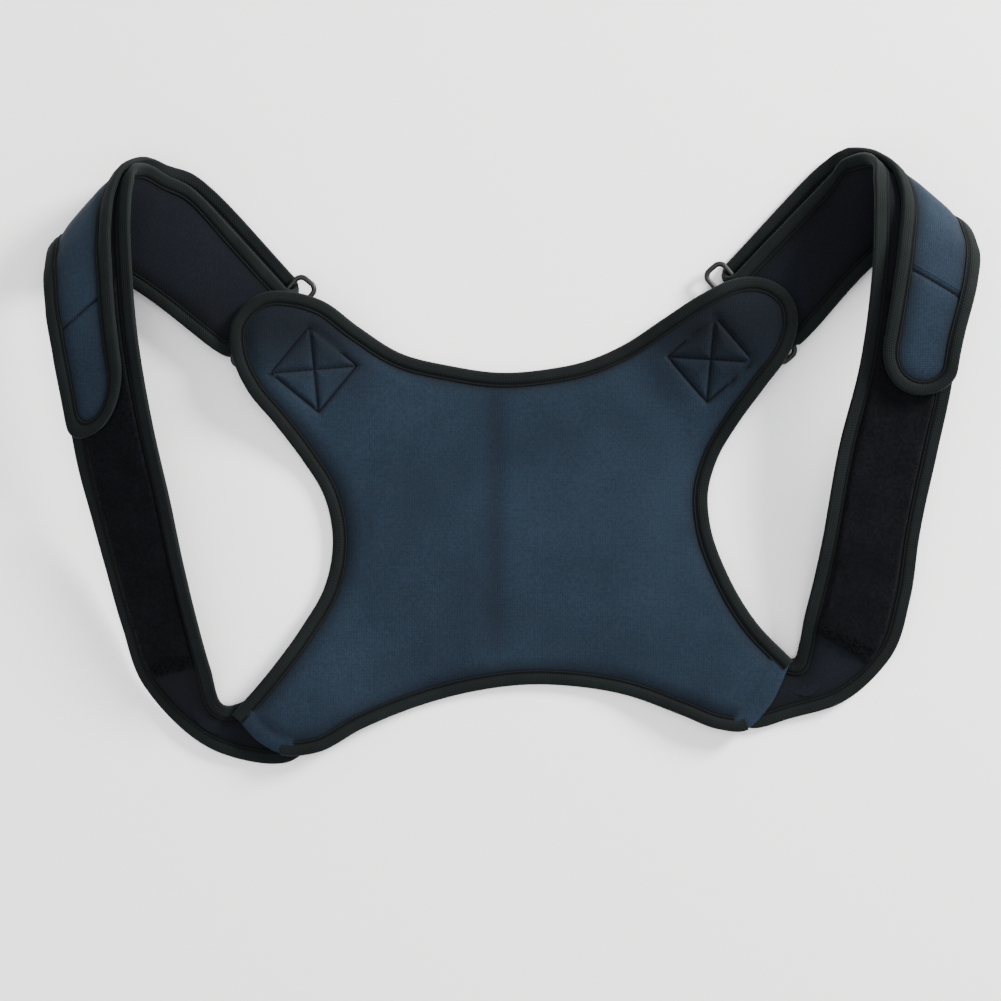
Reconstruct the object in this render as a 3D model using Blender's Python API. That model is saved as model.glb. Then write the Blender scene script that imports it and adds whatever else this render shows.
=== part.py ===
"""Back brace for posture: an X-shaped padded panel with two shoulder straps, lying on its wearer's side.

Metres, +Z up. Each strap is a ribbon between two edge curves. A place on it is (along, across, out): along
the strap from its ring, across it from its inner edge, and out from its middle on the side with the pile.
"""

import math

import bmesh
import bpy
import numpy as np
from mathutils.geometry import delaunay_2d_cdt

MM = 0.001

# Overall sizes, and what the outlines below were drawn at
OVERALL_WIDE = 0.547
OVERALL_TALL = 0.372
DRAWN_WIDE = 0.547
DRAWN_TALL = 0.372
STRAP_WIDE = 0.057
DRAWN_STRAP_WIDE = 0.057

# Fabrics
GAP = 0.0003
STRAP_THICK = 0.0032
PANEL_THICK = 0.0042
TAPE_WIDE = 0.0086
TAPE_THICK = 0.0006
TAPE_PROUD = 0.0003
PILE_WIDE = 0.038
PILE_THICK = 0.0015
HOOK_MARGIN = 0.002
HOOK_SETBACK = 0.004
HOOK_THICK = 0.0014
THREAD_WIDE = 0.0012
THREAD_THICK = 0.0005

# Ring, its webbing and its stitches
RING_BAR = 0.0032
RING_SLOT = 0.010
RING_LOOSE = 0.0013
RING_SPARE = 0.0015
WEB_WIDE = 0.038
WEB_THICK = 0.0012
BOX_SIDE = 0.036
BOX_BACK = 0.043
BOX_ASIDE = 0.0055

# Doubled end of the strap
FLAP_SETBACK = 0.0095
TAB_ROUND = 0.024

# Gaps that let the strap fold up beside the panel and let the tab peel
FOLD_GAP = 0.0012
FOLD_TOP_SHARE = 0.9
FOLD_LOW_SHARE = {"left": 0.1, "right": 0.5}

# Thread lines: the bar tack above the pile's lower end, and the line sewn across the tab
TACK_FROM = 0.006
TACK_TO = 0.002
CROSS_STITCH_IN = 0.003
STITCH_GAP = GAP / 3

# How the ring and its webbing turn their corners
RING_CORNER = 0.0035
RING_CORNER_STEPS = 4
WEB_LEAVES_LOBE = 0.010
WEB_PAST_HALF_TURN = 0.5
AXIS_HALF = 0.02

# Worked out from the sizes above
HALF = STRAP_THICK / 2
EDGE_HALF = HALF + TAPE_PROUD
RING_LAYER = RING_BAR + 2 * RING_LOOSE + STRAP_THICK
ARCH_LAYER = 2 * EDGE_HALF + 4 * GAP
BAND_LAYER = STRAP_THICK + PILE_THICK + HOOK_THICK + 3 * GAP
REST_HEIGHT = 2 * GAP + EDGE_HALF
DRAWN_REST_HEIGHT = 0.0023
DRAWN_LAYER = 0.0090
LOBE_RISE = REST_HEIGHT + RING_LAYER + EDGE_HALF + 2 * GAP
CORNER_RISE = {"left": 2 * EDGE_HALF + 0.0046, "right": 2 * EDGE_HALF + 0.0030}
LOOP_SLACK = 0.0004
RING_HEIGHT = REST_HEIGHT + RING_LAYER / 2

# Edge points of each strap from ring to sewn end, in mm: inner edge, then outer edge
STRAPS = {
    "left": [
        ((-130, 106, 11.2), (-168, 60, 11.2)),
        ((-183, 163, 12), (-179, 63, 11)),
        ((-204, 174, 17), (-225, 98, 11)),
        ((-213, 177, 25), (-254, 115, 16)),
        ((-219, 172, 36), (-268, 119, 25)),
        ((-222, 160, 44), (-272, 103, 34)),
        ((-223, 140, 49), (-271, 81, 38)),
        ((-222, 110, 50), (-267, 54, 37)),
        ((-219, 70, 48), (-262, 23, 32)),
        ((-210, 14, 44), (-257, -10, 22)),
        ((-202, -23, 41), (-251, -35, 16)),
        ((-194, -64, 37), (-243, -68, 9)),
        ((-187, -96, 32), (-234, -102, 5)),
        ((-180, -125, 23), (-221, -138, 2.8)),
        ((-172, -149, 8), (-178, -177, 2.2)),
        ((-155, -143, 2.4), (-138, -184, 2.2)),
        ((-132, -128, 2.2), (-114, -166, 2.2)),
    ],
    "right": [
        ((125, 114, 11.2), (167, 65, 11.2)),
        ((185, 177, 12.5), (179, 75, 11)),
        ((194, 184, 19), (216, 115, 11)),
        ((201, 182, 31), (243, 134, 18)),
        ((206, 174, 41), (256, 134, 30)),
        ((208, 160, 47), (262, 120, 39)),
        ((208, 133, 50), (263, 100, 44)),
        ((206, 96, 48), (258, 69, 44)),
        ((201, 54, 42), (255, 40, 38)),
        ((190, 6, 34), (248, 1, 30)),
        ((181, -52, 24), (239, -50, 20)),
        ((177, -74, 18), (235, -85, 14)),
        ((172, -97, 12), (223, -122, 8)),
        ((170, -111, 7), (195, -148, 4)),
        ((167, -121, 3.6), (166, -157, 2.4)),
        ((152, -117, 2.3), (141, -163, 2.2)),
        ((134, -108, 2.2), (120, -146, 2.2)),
    ],
}
SIDES = {"left": -1, "right": 1}
HINGE_TOP = 1
HINGE_LOW = 14
ARCH = (3, 5)
ARCH_END = 7
CORNER_BEND = 12
TAB_HINGE = {"left": 6.5, "right": 6.3}
TAB_TIP = {"left": 8.62, "right": 8.22}
PILE_FROM = 6.9
PILE_TO = {"left": 12.9, "right": 12.2}

# Panel outline in mm, round the armholes, lobes and neck, then back along the bottom
PANEL_TOP = [
    (166, -122), (144, -99), (127, -70), (117, -40), (116, -22), (121, -3), (134, 20), (149, 41), (164, 63),
    (168, 79), (165, 93), (156, 102), (144, 106), (131, 105), (111, 96), (89, 82), (66, 67), (43, 57),
    (19, 52),
    (-8, 50), (-38, 54), (-69, 62), (-93, 77), (-114, 92), (-131, 97), (-148, 97), (-161, 89), (-168, 78),
    (-168, 61), (-159, 39), (-143, 19), (-126, -4), (-115, -22), (-109, -49), (-114, -79), (-127, -102),
    (-145, -127), (-168, -154),
]
PANEL_LOW = [
    (-168, -154), (-153, -171), (-140, -178), (-118, -177), (-91, -163), (-58, -150), (-24, -141), (10, -137),
    (35, -138), (66, -143), (100, -155), (121, -163), (138, -164), (151, -152), (166, -122),
]
CORNERS = {"left": ((-150, -166), (-0.80, -0.60)), "right": ((152, -140), (0.85, -0.53))}
LOBE_START = 0.088
LOBE_END = 0.006
CORNER_START = 0.100
CORNER_END = 0.020
LEFT_CUT_EDGE = 0.038
RIGHT_CUT_EDGE = 0.050
PANEL_GRID = 0.017
OUTLINE_STEP = 0.008


def clear_scene():
    for item in list(bpy.data.objects):
        bpy.data.objects.remove(item, do_unlink=True)


def make_material(name, color, roughness, metallic=0.0):
    material = bpy.data.materials.new(name)
    material.use_nodes = True
    shader = material.node_tree.nodes["Principled BSDF"]
    shader.inputs["Base Color"].default_value = (*color, 1.0)
    shader.inputs["Roughness"].default_value = roughness
    shader.inputs["Metallic"].default_value = metallic
    material.diffuse_color = (*color, 1.0)
    return material


def make_materials():
    return {
        "neoprene": make_material("neoprene", (0.024, 0.040, 0.058), 0.85),
        "lining": make_material("lining", (0.012, 0.014, 0.018), 0.9),
        "binding": make_material("binding", (0.019, 0.024, 0.026), 0.8),
        "pile": make_material("pile", (0.006, 0.007, 0.009), 1.0),
        "hook": make_material("hook", (0.008, 0.009, 0.011), 0.6),
        "webbing": make_material("webbing", (0.010, 0.011, 0.013), 0.8),
        "thread": make_material("thread", (0.004, 0.006, 0.008), 0.7),
        "ring": make_material("ring", (0.010, 0.010, 0.011), 0.35),
    }


def smooth_step(x):
    x = np.clip(x, 0.0, 1.0)
    return x * x * (3 - 2 * x)


def unit(vectors):
    return vectors / np.linalg.norm(vectors, axis=-1, keepdims=True)


def spline(knots, points, t):
    """Place and direction on the smooth curve that passes each of the points at its knot."""
    slopes = np.gradient(points, knots, axis=0)
    i = int(np.clip(np.searchsorted(knots, t, side="right") - 1, 0, len(knots) - 2))
    span = knots[i + 1] - knots[i]
    x = (t - knots[i]) / span
    a, b, da, db = points[i], points[i + 1], slopes[i] * span, slopes[i + 1] * span
    place = a * (2 * x**3 - 3 * x**2 + 1) + da * (x**3 - 2 * x**2 + x)
    place = place + b * (3 * x**2 - 2 * x**3) + db * (x**3 - x**2)
    slope = a * (6 * x**2 - 6 * x) + da * (3 * x**2 - 4 * x + 1)
    slope = slope + b * (6 * x - 6 * x**2) + db * (3 * x**2 - 2 * x)
    return place, slope / span


def spread(points):
    """Drawn mm to metres, at the overall sizes."""
    scale = [OVERALL_WIDE / DRAWN_WIDE, OVERALL_TALL / DRAWN_TALL, 1.0]
    points = np.array(points, float)
    return points * MM * scale[: points.shape[-1]]


class Strap:
    """The ribbon of one strap."""

    def __init__(self, side):
        self.side = side
        drawn = spread(STRAPS[side])
        middle = drawn.mean(axis=1)
        reach = (drawn[:, 0] - middle) * STRAP_WIDE / DRAWN_STRAP_WIDE
        count = len(middle)
        layered = np.clip((HINGE_LOW - 2 - np.arange(count)) / 8, 0, 1)
        middle[:, 2] += REST_HEIGHT - DRAWN_REST_HEIGHT + layered * (RING_LAYER - DRAWN_LAYER)
        self.inner, self.outer = middle + reach, middle - reach
        steps = np.linalg.norm(np.diff(middle, axis=0), axis=1)
        self.knots = np.concatenate([[0], np.cumsum(steps)])

    def along(self, station):
        """The length along the strap at a station of its list, which may lie between two."""
        return float(np.interp(station, np.arange(len(self.knots)), self.knots))

    def edges(self, t):
        a, da = spline(self.knots, self.inner, t)
        b, db = spline(self.knots, self.outer, t)
        return a, b, da, db

    def share(self, t, from_inner=None, from_outer=None):
        """How far across, from 0 at the inner edge to 1, a distance from one edge is."""
        a, b, da, db = self.edges(t)
        ruling = b - a
        tangent = da if from_inner is not None else db
        skew = np.linalg.norm(np.cross(unit(tangent), unit(ruling)))
        inset = (from_inner if from_inner is not None else from_outer) / (np.linalg.norm(ruling) * skew)
        return inset if from_inner is not None else 1 - inset

    def at(self, t, v, h):
        """Place and outward normal at t along, v across and h out."""
        a, b, da, db = self.edges(t)
        normal = unit(SIDES[self.side] * np.cross(da * (1 - v) + db * v, b - a))
        return a * (1 - v) + b * v + normal * h, normal

    def layer(self, t):
        """How far out the doubled end lies from the strap beneath it."""
        arch_in = smooth_step((t - self.along(HINGE_TOP)) / (self.along(ARCH[0]) - self.along(HINGE_TOP)))
        arch_out = smooth_step((t - self.along(ARCH[1])) / (self.along(PILE_FROM) - self.along(ARCH[1])))
        return RING_LAYER + (ARCH_LAYER - RING_LAYER) * arch_in + (BAND_LAYER - ARCH_LAYER) * arch_out


def add_mesh(name, points, faces, material, pivot=(0, 0, 0)):
    """A closed mesh object whose origin is the pivot."""
    mesh = bpy.data.meshes.new(name)
    mesh.from_pydata([tuple(p) for p in np.asarray(points) - np.asarray(pivot)], [], faces)
    mesh.materials.append(material)
    work = bmesh.new()
    work.from_mesh(mesh)
    bmesh.ops.recalc_face_normals(work, faces=work.faces)
    work.to_mesh(mesh)
    work.free()
    mesh.shade_smooth()
    mesh.set_sharp_from_angle(angle=math.radians(40))
    item = bpy.data.objects.new(name, mesh)
    item.location = pivot
    bpy.context.scene.collection.objects.link(item)
    return item


def grid_faces(rows, cols, start, flip=False):
    faces = []
    for r in range(rows - 1):
        for c in range(cols - 1):
            a = start + r * cols + c
            face = [a, a + 1, a + cols + 1, a + cols]
            faces.append(face[::-1] if flip else face)
    return faces


def add_slab(name, low, high, material, pivot=(0, 0, 0)):
    """A closed solid between two grids of points."""
    rows, cols = low.shape[:2]
    count = rows * cols
    rim = [c for c in range(cols)] + [r * cols + cols - 1 for r in range(1, rows)]
    rim += [(rows - 1) * cols + c for c in range(cols - 2, -1, -1)]
    rim += [r * cols for r in range(rows - 2, 0, -1)]
    faces = grid_faces(rows, cols, 0, True) + grid_faces(rows, cols, count)
    faces += [[a, b, b + count, a + count] for a, b in zip(rim, rim[1:] + rim[:1])]
    points = np.concatenate([low.reshape(-1, 3), high.reshape(-1, 3)])
    return add_mesh(name, points, faces, material, pivot)


def add_sweep(name, rings, material, pivot=(0, 0, 0)):
    """A closed solid through rings of points, each a section, with flat ends."""
    rows, count = rings.shape[:2]
    faces = []
    for r in range(rows - 1):
        for c in range(count):
            a, b = r * count + c, r * count + (c + 1) % count
            faces.append([a, b, b + count, a + count])
    faces += [list(range(count))[::-1], [(rows - 1) * count + c for c in range(count)]]
    return add_mesh(name, rings.reshape(-1, 3), faces, material, pivot)


def core_columns(strap, t, inset):
    """Across the strap: the places and half thickness of its padded middle and thinned edges."""
    tape = TAPE_THICK + GAP
    thin, full = HALF + TAPE_PROUD - TAPE_THICK - GAP, HALF
    near = [(tape, thin), (TAPE_WIDE + GAP, thin), (TAPE_WIDE + 5 * GAP, full)]
    columns = [(strap.share(t, from_inner=s + inset), half) for s, half in near]
    ends = columns[-1][0], strap.share(t, from_outer=near[-1][0])
    columns += [(ends[0] + (ends[1] - ends[0]) * k / 3, full) for k in (1, 2)]
    columns += [(strap.share(t, from_outer=s), half) for s, half in reversed(near)]
    return columns


def add_core(name, strap, path, material, pivot=(0, 0, 0)):
    """A padded length of strap along a path of (place and normal of (v), t, inset)."""
    low, high = [], []
    for place, t, inset in path:
        row = [(place(v), half) for v, half in core_columns(strap, t, inset)]
        low.append([point - normal * half for (point, normal), half in row])
        high.append([point + normal * half for (point, normal), half in row])
    return add_slab(name, np.array(low), np.array(high), material, pivot)


def tape_section():
    """The folded tape round an edge, as (in from the edge, out from the middle)."""
    out, inside = EDGE_HALF, EDGE_HALF - TAPE_THICK
    return [
        (TAPE_WIDE, out), (0, out), (0, -out), (TAPE_WIDE, -out),
        (TAPE_WIDE, -inside), (TAPE_THICK, -inside), (TAPE_THICK, inside), (TAPE_WIDE, inside),
    ]


def add_tape(name, strap, path, edge, material, pivot=(0, 0, 0)):
    rings = []
    for place, t, inset in path:
        ring = []
        for s, h in tape_section():
            v = strap.share(t, from_inner=s + inset) if edge == "inner" else strap.share(t, from_outer=s)
            point, normal = place(v)
            ring.append(point + normal * h)
        rings.append(ring)
    return add_sweep(name, np.array(rings), material, pivot)


def single_path(strap, lengths):
    """Rows along the strap itself, one at each length."""
    return [(lambda v, t=t: strap.at(t, v, 0), t, 0.0) for t in lengths]


def band_lengths(strap, start, end):
    """Lengths along the strap, closer together where it folds over at the arch and turns at the corner."""
    arch, corner = strap.along(ARCH_END), strap.along(CORNER_BEND)
    rows = [*np.linspace(start, arch, 26), *np.linspace(arch, corner, 9)[1:]]
    return rows + [*np.linspace(corner, end, 12)[1:]]


def doubled_path(strap, lengths):
    """Rows along the doubled end, which lies on the strap and is set back from its inner edge."""
    return [(lambda v, t=t: strap.at(t, v, strap.layer(t)), t, FLAP_SETBACK) for t in lengths]


def ring_turn_path(strap, rows):
    """Rows from the top hinge to the ring, round its bar, and back beneath."""
    start = strap.along(HINGE_TOP) - GAP / 2
    leg = [0.0, 0.06, 0.2, 0.4, 0.6, 0.8, 1.0]

    def leg_in(t):
        return lambda v: (strap.at(t, v, 0)[0], -strap.at(t, v, 0)[1])

    def leg_out(t):
        return lambda v: strap.at(t, v, strap.layer(t))

    def turn(angle):
        def place(v):
            start_point, normal = strap.at(0, v, 0)
            forward = unit(strap.edges(0)[2] * (1 - v) + strap.edges(0)[3] * v)
            radius = RING_LAYER / 2
            outward = -normal * math.cos(angle) - forward * math.sin(angle)
            return start_point + normal * radius + outward * radius, outward

        return place

    path = [(leg_in(x * start), x * start, 0.0) for x in reversed(leg)]
    for k in range(1, rows):
        path.append((turn(math.pi * k / rows), 0.0, FLAP_SETBACK * k / rows))
    return path + [(leg_out(x * start), x * start, FLAP_SETBACK) for x in leg]


def add_strip(name, strap, lengths, spans, low, high, material, pivot=(0, 0, 0)):
    """A flat piece on the strap: spans gives its two sides across, low and high its faces out."""
    grids = []
    for out in (low, high):
        grid = []
        for t in lengths:
            a, b = spans(t)
            grid.append([strap.at(t, a + (b - a) * k / 3, out(t))[0] for k in range(4)])
        grids.append(grid)
    return add_slab(name, np.array(grids[0]), np.array(grids[1]), material, pivot)


def centred_span(strap, wide, inset=0.0):
    """Both sides of a tape of one width in the middle of the strap, or of its set-back doubled end."""

    def span(t):
        a = strap.share(t, from_inner=TAPE_WIDE + 2 * GAP + inset)
        b = strap.share(t, from_outer=TAPE_WIDE + 2 * GAP)
        near, far = strap.at(t, 0, 0)[0], strap.at(t, 1, 0)[0]
        middle = (strap.share(t, from_inner=inset) + 1) / 2
        skew = (1 - strap.share(t, from_outer=TAPE_WIDE)) * np.linalg.norm(far - near) / TAPE_WIDE
        half = wide / 2 * skew / np.linalg.norm(far - near)
        return max(a, middle - half), min(b, middle + half)

    return span


def tab_place(strap, inset, bend, back, length):
    """A spot (along, across) of the tab's outline moved in by an inset, going to the tip and back.

    bend is the angle gone round the tip's quarter, and length is where the straight part has got to.
    """
    tip = strap.along(TAB_TIP[strap.side])
    t = length if bend == 0 else tip - TAB_ROUND + (TAB_ROUND - inset) * math.sin(bend)
    inner = strap.share(t, from_inner=FLAP_SETBACK + inset)
    outer = strap.share(t, from_outer=inset)
    half = (outer - inner) / 2 * math.cos(bend)
    return t, (inner + outer) / 2 + (half if back else -half)


def tab_route(strap, start, straight_rows=9, round_rows=7):
    """The steps of the way round the tab: (bend, back, length)."""
    tip = strap.along(TAB_TIP[strap.side])
    there = [(0.0, t) for t in np.linspace(start, tip - TAB_ROUND, straight_rows)]
    there += [(math.pi / 2 * k / round_rows, 0.0) for k in range(1, round_rows)]
    route = [(bend, False, length) for bend, length in there] + [(math.pi / 2, False, 0.0)]
    return route + [(bend, True, length) for bend, length in reversed(there)]


def tab_faces(loops, count):
    """Faces of nested loops round the tab, the innermost filled across."""
    faces = []
    for ring in range(loops - 1):
        for k in range(count - 1):
            a = ring * count + k
            faces.append([a, a + 1, a + count + 1, a + count])
    last = (loops - 1) * count
    for k in range(count // 2):
        corners = [last + k, last + k + 1, last + count - 2 - k, last + count - 1 - k]
        faces.append(corners if corners[1] != corners[2] else corners[:2] + corners[3:])
    return faces


def close_up(name, low, high, faces, material, pivot=(0, 0, 0)):
    """A closed solid between two copies of one surface."""
    count = len(low)
    directed = {(a, b) for face in faces for a, b in zip(face, list(face[1:]) + [face[0]])}
    border = [(a, b) for a, b in directed if (b, a) not in directed]
    solid = [list(face)[::-1] for face in faces] + [[k + count for k in face] for face in faces]
    solid += [[a, b, b + count, a + count] for a, b in sorted(border)]
    return add_mesh(name, np.concatenate([low, high]), solid, material, pivot)


def add_tab_layer(name, strap, start, insets, heights, material, pivot):
    """A layer of the tab: heights gives its low and high faces at each inset from the outline."""
    route = tab_route(strap, start)
    low, high = [], []
    for inset, (below, above) in zip(insets, heights):
        for bend, back, length in route:
            t, v = tab_place(strap, inset, bend, back, length)
            point, normal = strap.at(t, v, strap.layer(t))
            low.append(point + normal * below)
            high.append(point + normal * above)
    faces = tab_faces(len(insets), len(route))
    return close_up(name, np.array(low), np.array(high), faces, material, pivot)


def add_tab(strap, materials, pivot):
    """The rounded end: its padded middle, its tape and the hook patch beneath."""
    side = strap.side
    start = strap.along(TAB_HINGE[side]) + GAP / 2
    tape = TAPE_THICK + GAP
    thin = EDGE_HALF - TAPE_THICK - GAP
    add_tab_layer(f"{side}_tab", strap, start, (tape, TAPE_WIDE + GAP, TAPE_WIDE + 5 * GAP),
                  ((-thin, thin), (-thin, thin), (-HALF, HALF)), materials["neoprene"], pivot)
    top = -HALF - GAP
    add_tab_layer(f"{side}_hook_patch", strap, start + HOOK_SETBACK, (TAPE_WIDE + HOOK_MARGIN,),
                  ((top - HOOK_THICK, top),), materials["hook"], pivot)
    rings = []
    for bend, back, length in tab_route(strap, start):
        ring = []
        for s, h in tape_section():
            t, v = tab_place(strap, s, bend, back, length)
            point, normal = strap.at(t, v, strap.layer(t))
            ring.append(point + normal * h)
        rings.append(ring)
    add_sweep(f"{side}_tab_binding", np.array(rings), materials["binding"], pivot)


def add_strap(side, materials):
    """Every fabric piece of one strap. Returns the pieces of each body, by body name."""
    strap = Strap(side)
    top, low = strap.along(HINGE_TOP), strap.along(HINGE_LOW)
    tab_start = strap.along(TAB_HINGE[side])
    fold_pivot = (strap.at(top, 0.5, -EDGE_HALF)[0] + strap.at(low, FOLD_LOW_SHARE[side], EDGE_HALF)[0]) / 2
    tab_pivot = strap.at(tab_start, 0.5, strap.layer(tab_start) + EDGE_HALF)[0]
    half_gap = GAP / 2

    turn = ring_turn_path(strap, 6)
    add_core(f"{side}_strap_ring_end", strap, turn, materials["neoprene"])
    add_tape(f"{side}_ring_end_binding_inner", strap, turn, "inner", materials["binding"])
    add_tape(f"{side}_ring_end_binding_outer", strap, turn, "outer", materials["binding"])

    loop = single_path(strap, band_lengths(strap, top + half_gap, low - FOLD_GAP))
    add_core(f"{side}_strap_band", strap, loop, materials["neoprene"], fold_pivot)
    add_tape(f"{side}_band_binding_inner", strap, loop, "inner", materials["binding"], fold_pivot)
    add_tape(f"{side}_band_binding_outer", strap, loop, "outer", materials["binding"], fold_pivot)

    flap = doubled_path(strap, np.linspace(top + half_gap, tab_start - half_gap, 27))
    add_core(f"{side}_strap_doubled", strap, flap, materials["neoprene"], fold_pivot)
    add_tape(f"{side}_doubled_binding_inner", strap, flap, "inner", materials["binding"], fold_pivot)
    add_tape(f"{side}_doubled_binding_outer", strap, flap, "outer", materials["binding"], fold_pivot)

    anchor = single_path(strap, np.linspace(low + FOLD_GAP, strap.knots[-1], 11))
    add_core(f"{side}_strap_anchor", strap, anchor, materials["neoprene"])
    add_tape(f"{side}_anchor_binding_outer", strap, anchor, "outer", materials["binding"])
    add_tape(f"{side}_anchor_binding_inner", strap, anchor, "inner", materials["binding"])

    pile_low, pile_high = HALF + GAP, HALF + GAP + PILE_THICK
    pile_start, pile_end = strap.along(PILE_FROM), strap.along(PILE_TO[side])
    span = centred_span(strap, PILE_WIDE)
    add_strip(f"{side}_pile_tape", strap, np.linspace(pile_start, pile_end, 20), span, lambda t: pile_low,
              lambda t: pile_high, materials["pile"], fold_pivot)
    tack = np.linspace(pile_end - TACK_FROM, pile_end - TACK_TO, 3)
    add_strip(f"{side}_bar_tack", strap, tack, span, lambda t: pile_high + STITCH_GAP,
              lambda t: pile_high + STITCH_GAP + THREAD_THICK, materials["thread"], fold_pivot)

    add_tab(strap, materials, tab_pivot)
    seam = np.linspace(tab_start + CROSS_STITCH_IN, tab_start + CROSS_STITCH_IN + THREAD_WIDE, 2)

    def between_tapes(t):
        edge = TAPE_WIDE + CROSS_STITCH_IN
        return strap.share(t, from_inner=FLAP_SETBACK + edge), strap.share(t, from_outer=edge)

    add_strip(f"{side}_cross_stitch", strap, seam, between_tapes,
              lambda t: strap.layer(t) + HALF + STITCH_GAP,
              lambda t: strap.layer(t) + HALF + STITCH_GAP + THREAD_THICK, materials["thread"], tab_pivot)
    fold_low = strap.at(low, FOLD_LOW_SHARE[side], EDGE_HALF)[0]
    report_axis(f"{side}_fold", strap.at(top, FOLD_TOP_SHARE, -EDGE_HALF)[0], fold_low)
    out = strap.layer(tab_start) + EDGE_HALF
    report_axis(f"{side}_tab_peel", strap.at(tab_start, 0, out)[0], strap.at(tab_start, 1, out)[0])
    return strap


def report_axis(name, start, end):
    """Prints two points of a joint's axis, before the model is centred."""
    print("AXIS", name, [round(float(x), 5) for x in (*start, *end)])


class Lobe:
    """The frame of one ring under a lobe: forward is out along the strap, aside is along the ring's bar."""

    def __init__(self, strap):
        a, b = strap.inner[0], strap.outer[0]
        self.middle = np.array([*((a + b) / 2)[:2], RING_HEIGHT])
        self.aside = unit(b - a)
        self.forward = np.cross(self.aside, [0, 0, 1]) * -SIDES[strap.side]
        self.long = np.linalg.norm(b - a)

    def place(self, forward, aside, z):
        point = self.middle + self.forward * forward + self.aside * aside
        return np.array([point[0], point[1], z])


def rise_at(x, y, lobes):
    """Height of the panel's underside: flat on the table, raised over the rings and the strap ends."""
    rise = 0.0
    for side, lobe in lobes.items():
        t = (np.array([x, y]) - lobe.middle[:2]) @ lobe.forward[:2]
        rise += LOBE_RISE * smooth_step((t + LOBE_START) / (LOBE_START - LOBE_END))
        corner, towards = CORNERS[side]
        t = (np.array([x, y]) - spread(corner)) @ np.array(towards)
        rise += CORNER_RISE[side] * smooth_step((t + CORNER_START) / (CORNER_START - CORNER_END))
    return rise


def outline_points(drawn, step=OUTLINE_STEP):
    """Points along a smooth curve through the drawn ones, evenly spaced."""
    points = spread(drawn)
    knots = np.concatenate([[0], np.cumsum(np.linalg.norm(np.diff(points, axis=0), axis=1))])
    count = max(2, round(knots[-1] / step))
    return np.array([spline(knots, points, t)[0] for t in np.linspace(0, knots[-1], count + 1)])


def outline_normals(points):
    """Inward normals of an open curve whose inside is on its left."""
    tangents = unit(np.gradient(points, axis=0))
    return np.stack([-tangents[:, 1], tangents[:, 0]], axis=1)


def inset_loop(loop, distance):
    """A closed loop moved inwards, with sharp corners mitred."""
    before, after = unit(loop - np.roll(loop, 1, axis=0)), unit(np.roll(loop, -1, axis=0) - loop)
    normal_before = np.stack([-before[:, 1], before[:, 0]], axis=1)
    normal_after = np.stack([-after[:, 1], after[:, 0]], axis=1)
    mitre = unit(normal_before + normal_after)
    stretch = 1 / np.maximum(0.5, (mitre * normal_after).sum(axis=1, keepdims=True))
    return loop + mitre * distance * stretch


def distance_to_loop(points, loop):
    """Signed distance of each point from a closed loop, positive inside."""
    a, b = loop, np.roll(loop, -1, axis=0)
    along = b - a
    rel = points[:, None] - a[None]
    share = np.clip((rel * along).sum(-1) / (along**2).sum(-1), 0, 1)
    nearest = np.linalg.norm(rel - share[..., None] * along, axis=-1).min(axis=1)
    crosses = (a[None, :, 1] > points[:, None, 1]) != (b[None, :, 1] > points[:, None, 1])
    slope = along[:, 0] / np.where(along[:, 1] == 0, 1e-12, along[:, 1])
    x_cross = a[:, 0] + (points[:, None, 1] - a[:, 1]) * slope
    inside = (crosses & (points[:, None, 0] < x_cross)).sum(axis=1) % 2 == 1
    return np.where(inside, nearest, -nearest)


def add_sheet(name, outline, heights, material):
    """One panel layer: heights gives its low and high faces from (rise, distance in from the edge)."""
    loops = [inset_loop(outline, TAPE_THICK + GAP)]
    for inset in (TAPE_WIDE + GAP, TAPE_WIDE + 5 * GAP):
        loop = inset_loop(outline, inset)
        loops.append(loop[distance_to_loop(loop, outline) > inset - LOOP_SLACK])
    low, high = outline.min(axis=0), outline.max(axis=0)
    grid = np.array([(x, y) for x in np.arange(low[0], high[0], PANEL_GRID)
                     for y in np.arange(low[1], high[1], PANEL_GRID)])
    grid = grid[distance_to_loop(grid, loops[-1]) > PANEL_GRID / 3]
    flat = np.concatenate(loops + [grid])
    rim = len(loops[0])
    edges = [(k, (k + 1) % rim) for k in range(rim)]
    corners = [tuple(p) for p in flat]
    flat_points, _, faces, *_ = delaunay_2d_cdt(corners, edges, [list(range(rim))], 1, 1e-9)
    flat_points = np.array([tuple(p) for p in flat_points])
    depth = distance_to_loop(flat_points, outline)
    lows, highs = [], []
    for (x, y), d in zip(flat_points, depth):
        z = rise_at(x, y, LOBES)
        a, b = heights(smooth_step((d - TAPE_WIDE - GAP) / (3 * GAP)))
        lows.append((x, y, z + a))
        highs.append((x, y, z + b))
    return close_up(name, np.array(lows), np.array(highs), faces, material)


def add_panel(materials):
    """Face and lining sheets, and the two tapes that bind them."""
    top, bottom = outline_points(PANEL_TOP), outline_points(PANEL_LOW)
    outline = np.concatenate([top[:-1], bottom[:-1]])
    middle = PANEL_THICK / 2
    thin = TAPE_THICK + GAP
    add_sheet("panel_lining", outline, lambda full: (thin * (1 - full), middle - GAP / 2),
              materials["lining"])
    add_sheet("panel_face", outline, lambda full: (middle + GAP / 2, PANEL_THICK - thin * (1 - full)),
              materials["neoprene"])
    add_panel_tape("panel_binding_upper", top, materials["binding"])
    knots = np.concatenate([[0], np.cumsum(np.linalg.norm(np.diff(bottom, axis=0), axis=1))])
    lengths = np.linspace(LEFT_CUT_EDGE, knots[-1] - RIGHT_CUT_EDGE, len(bottom))
    shorter = np.array([spline(knots, bottom, t)[0] for t in lengths])
    add_panel_tape("panel_binding_lower", shorter, materials["binding"])


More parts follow.
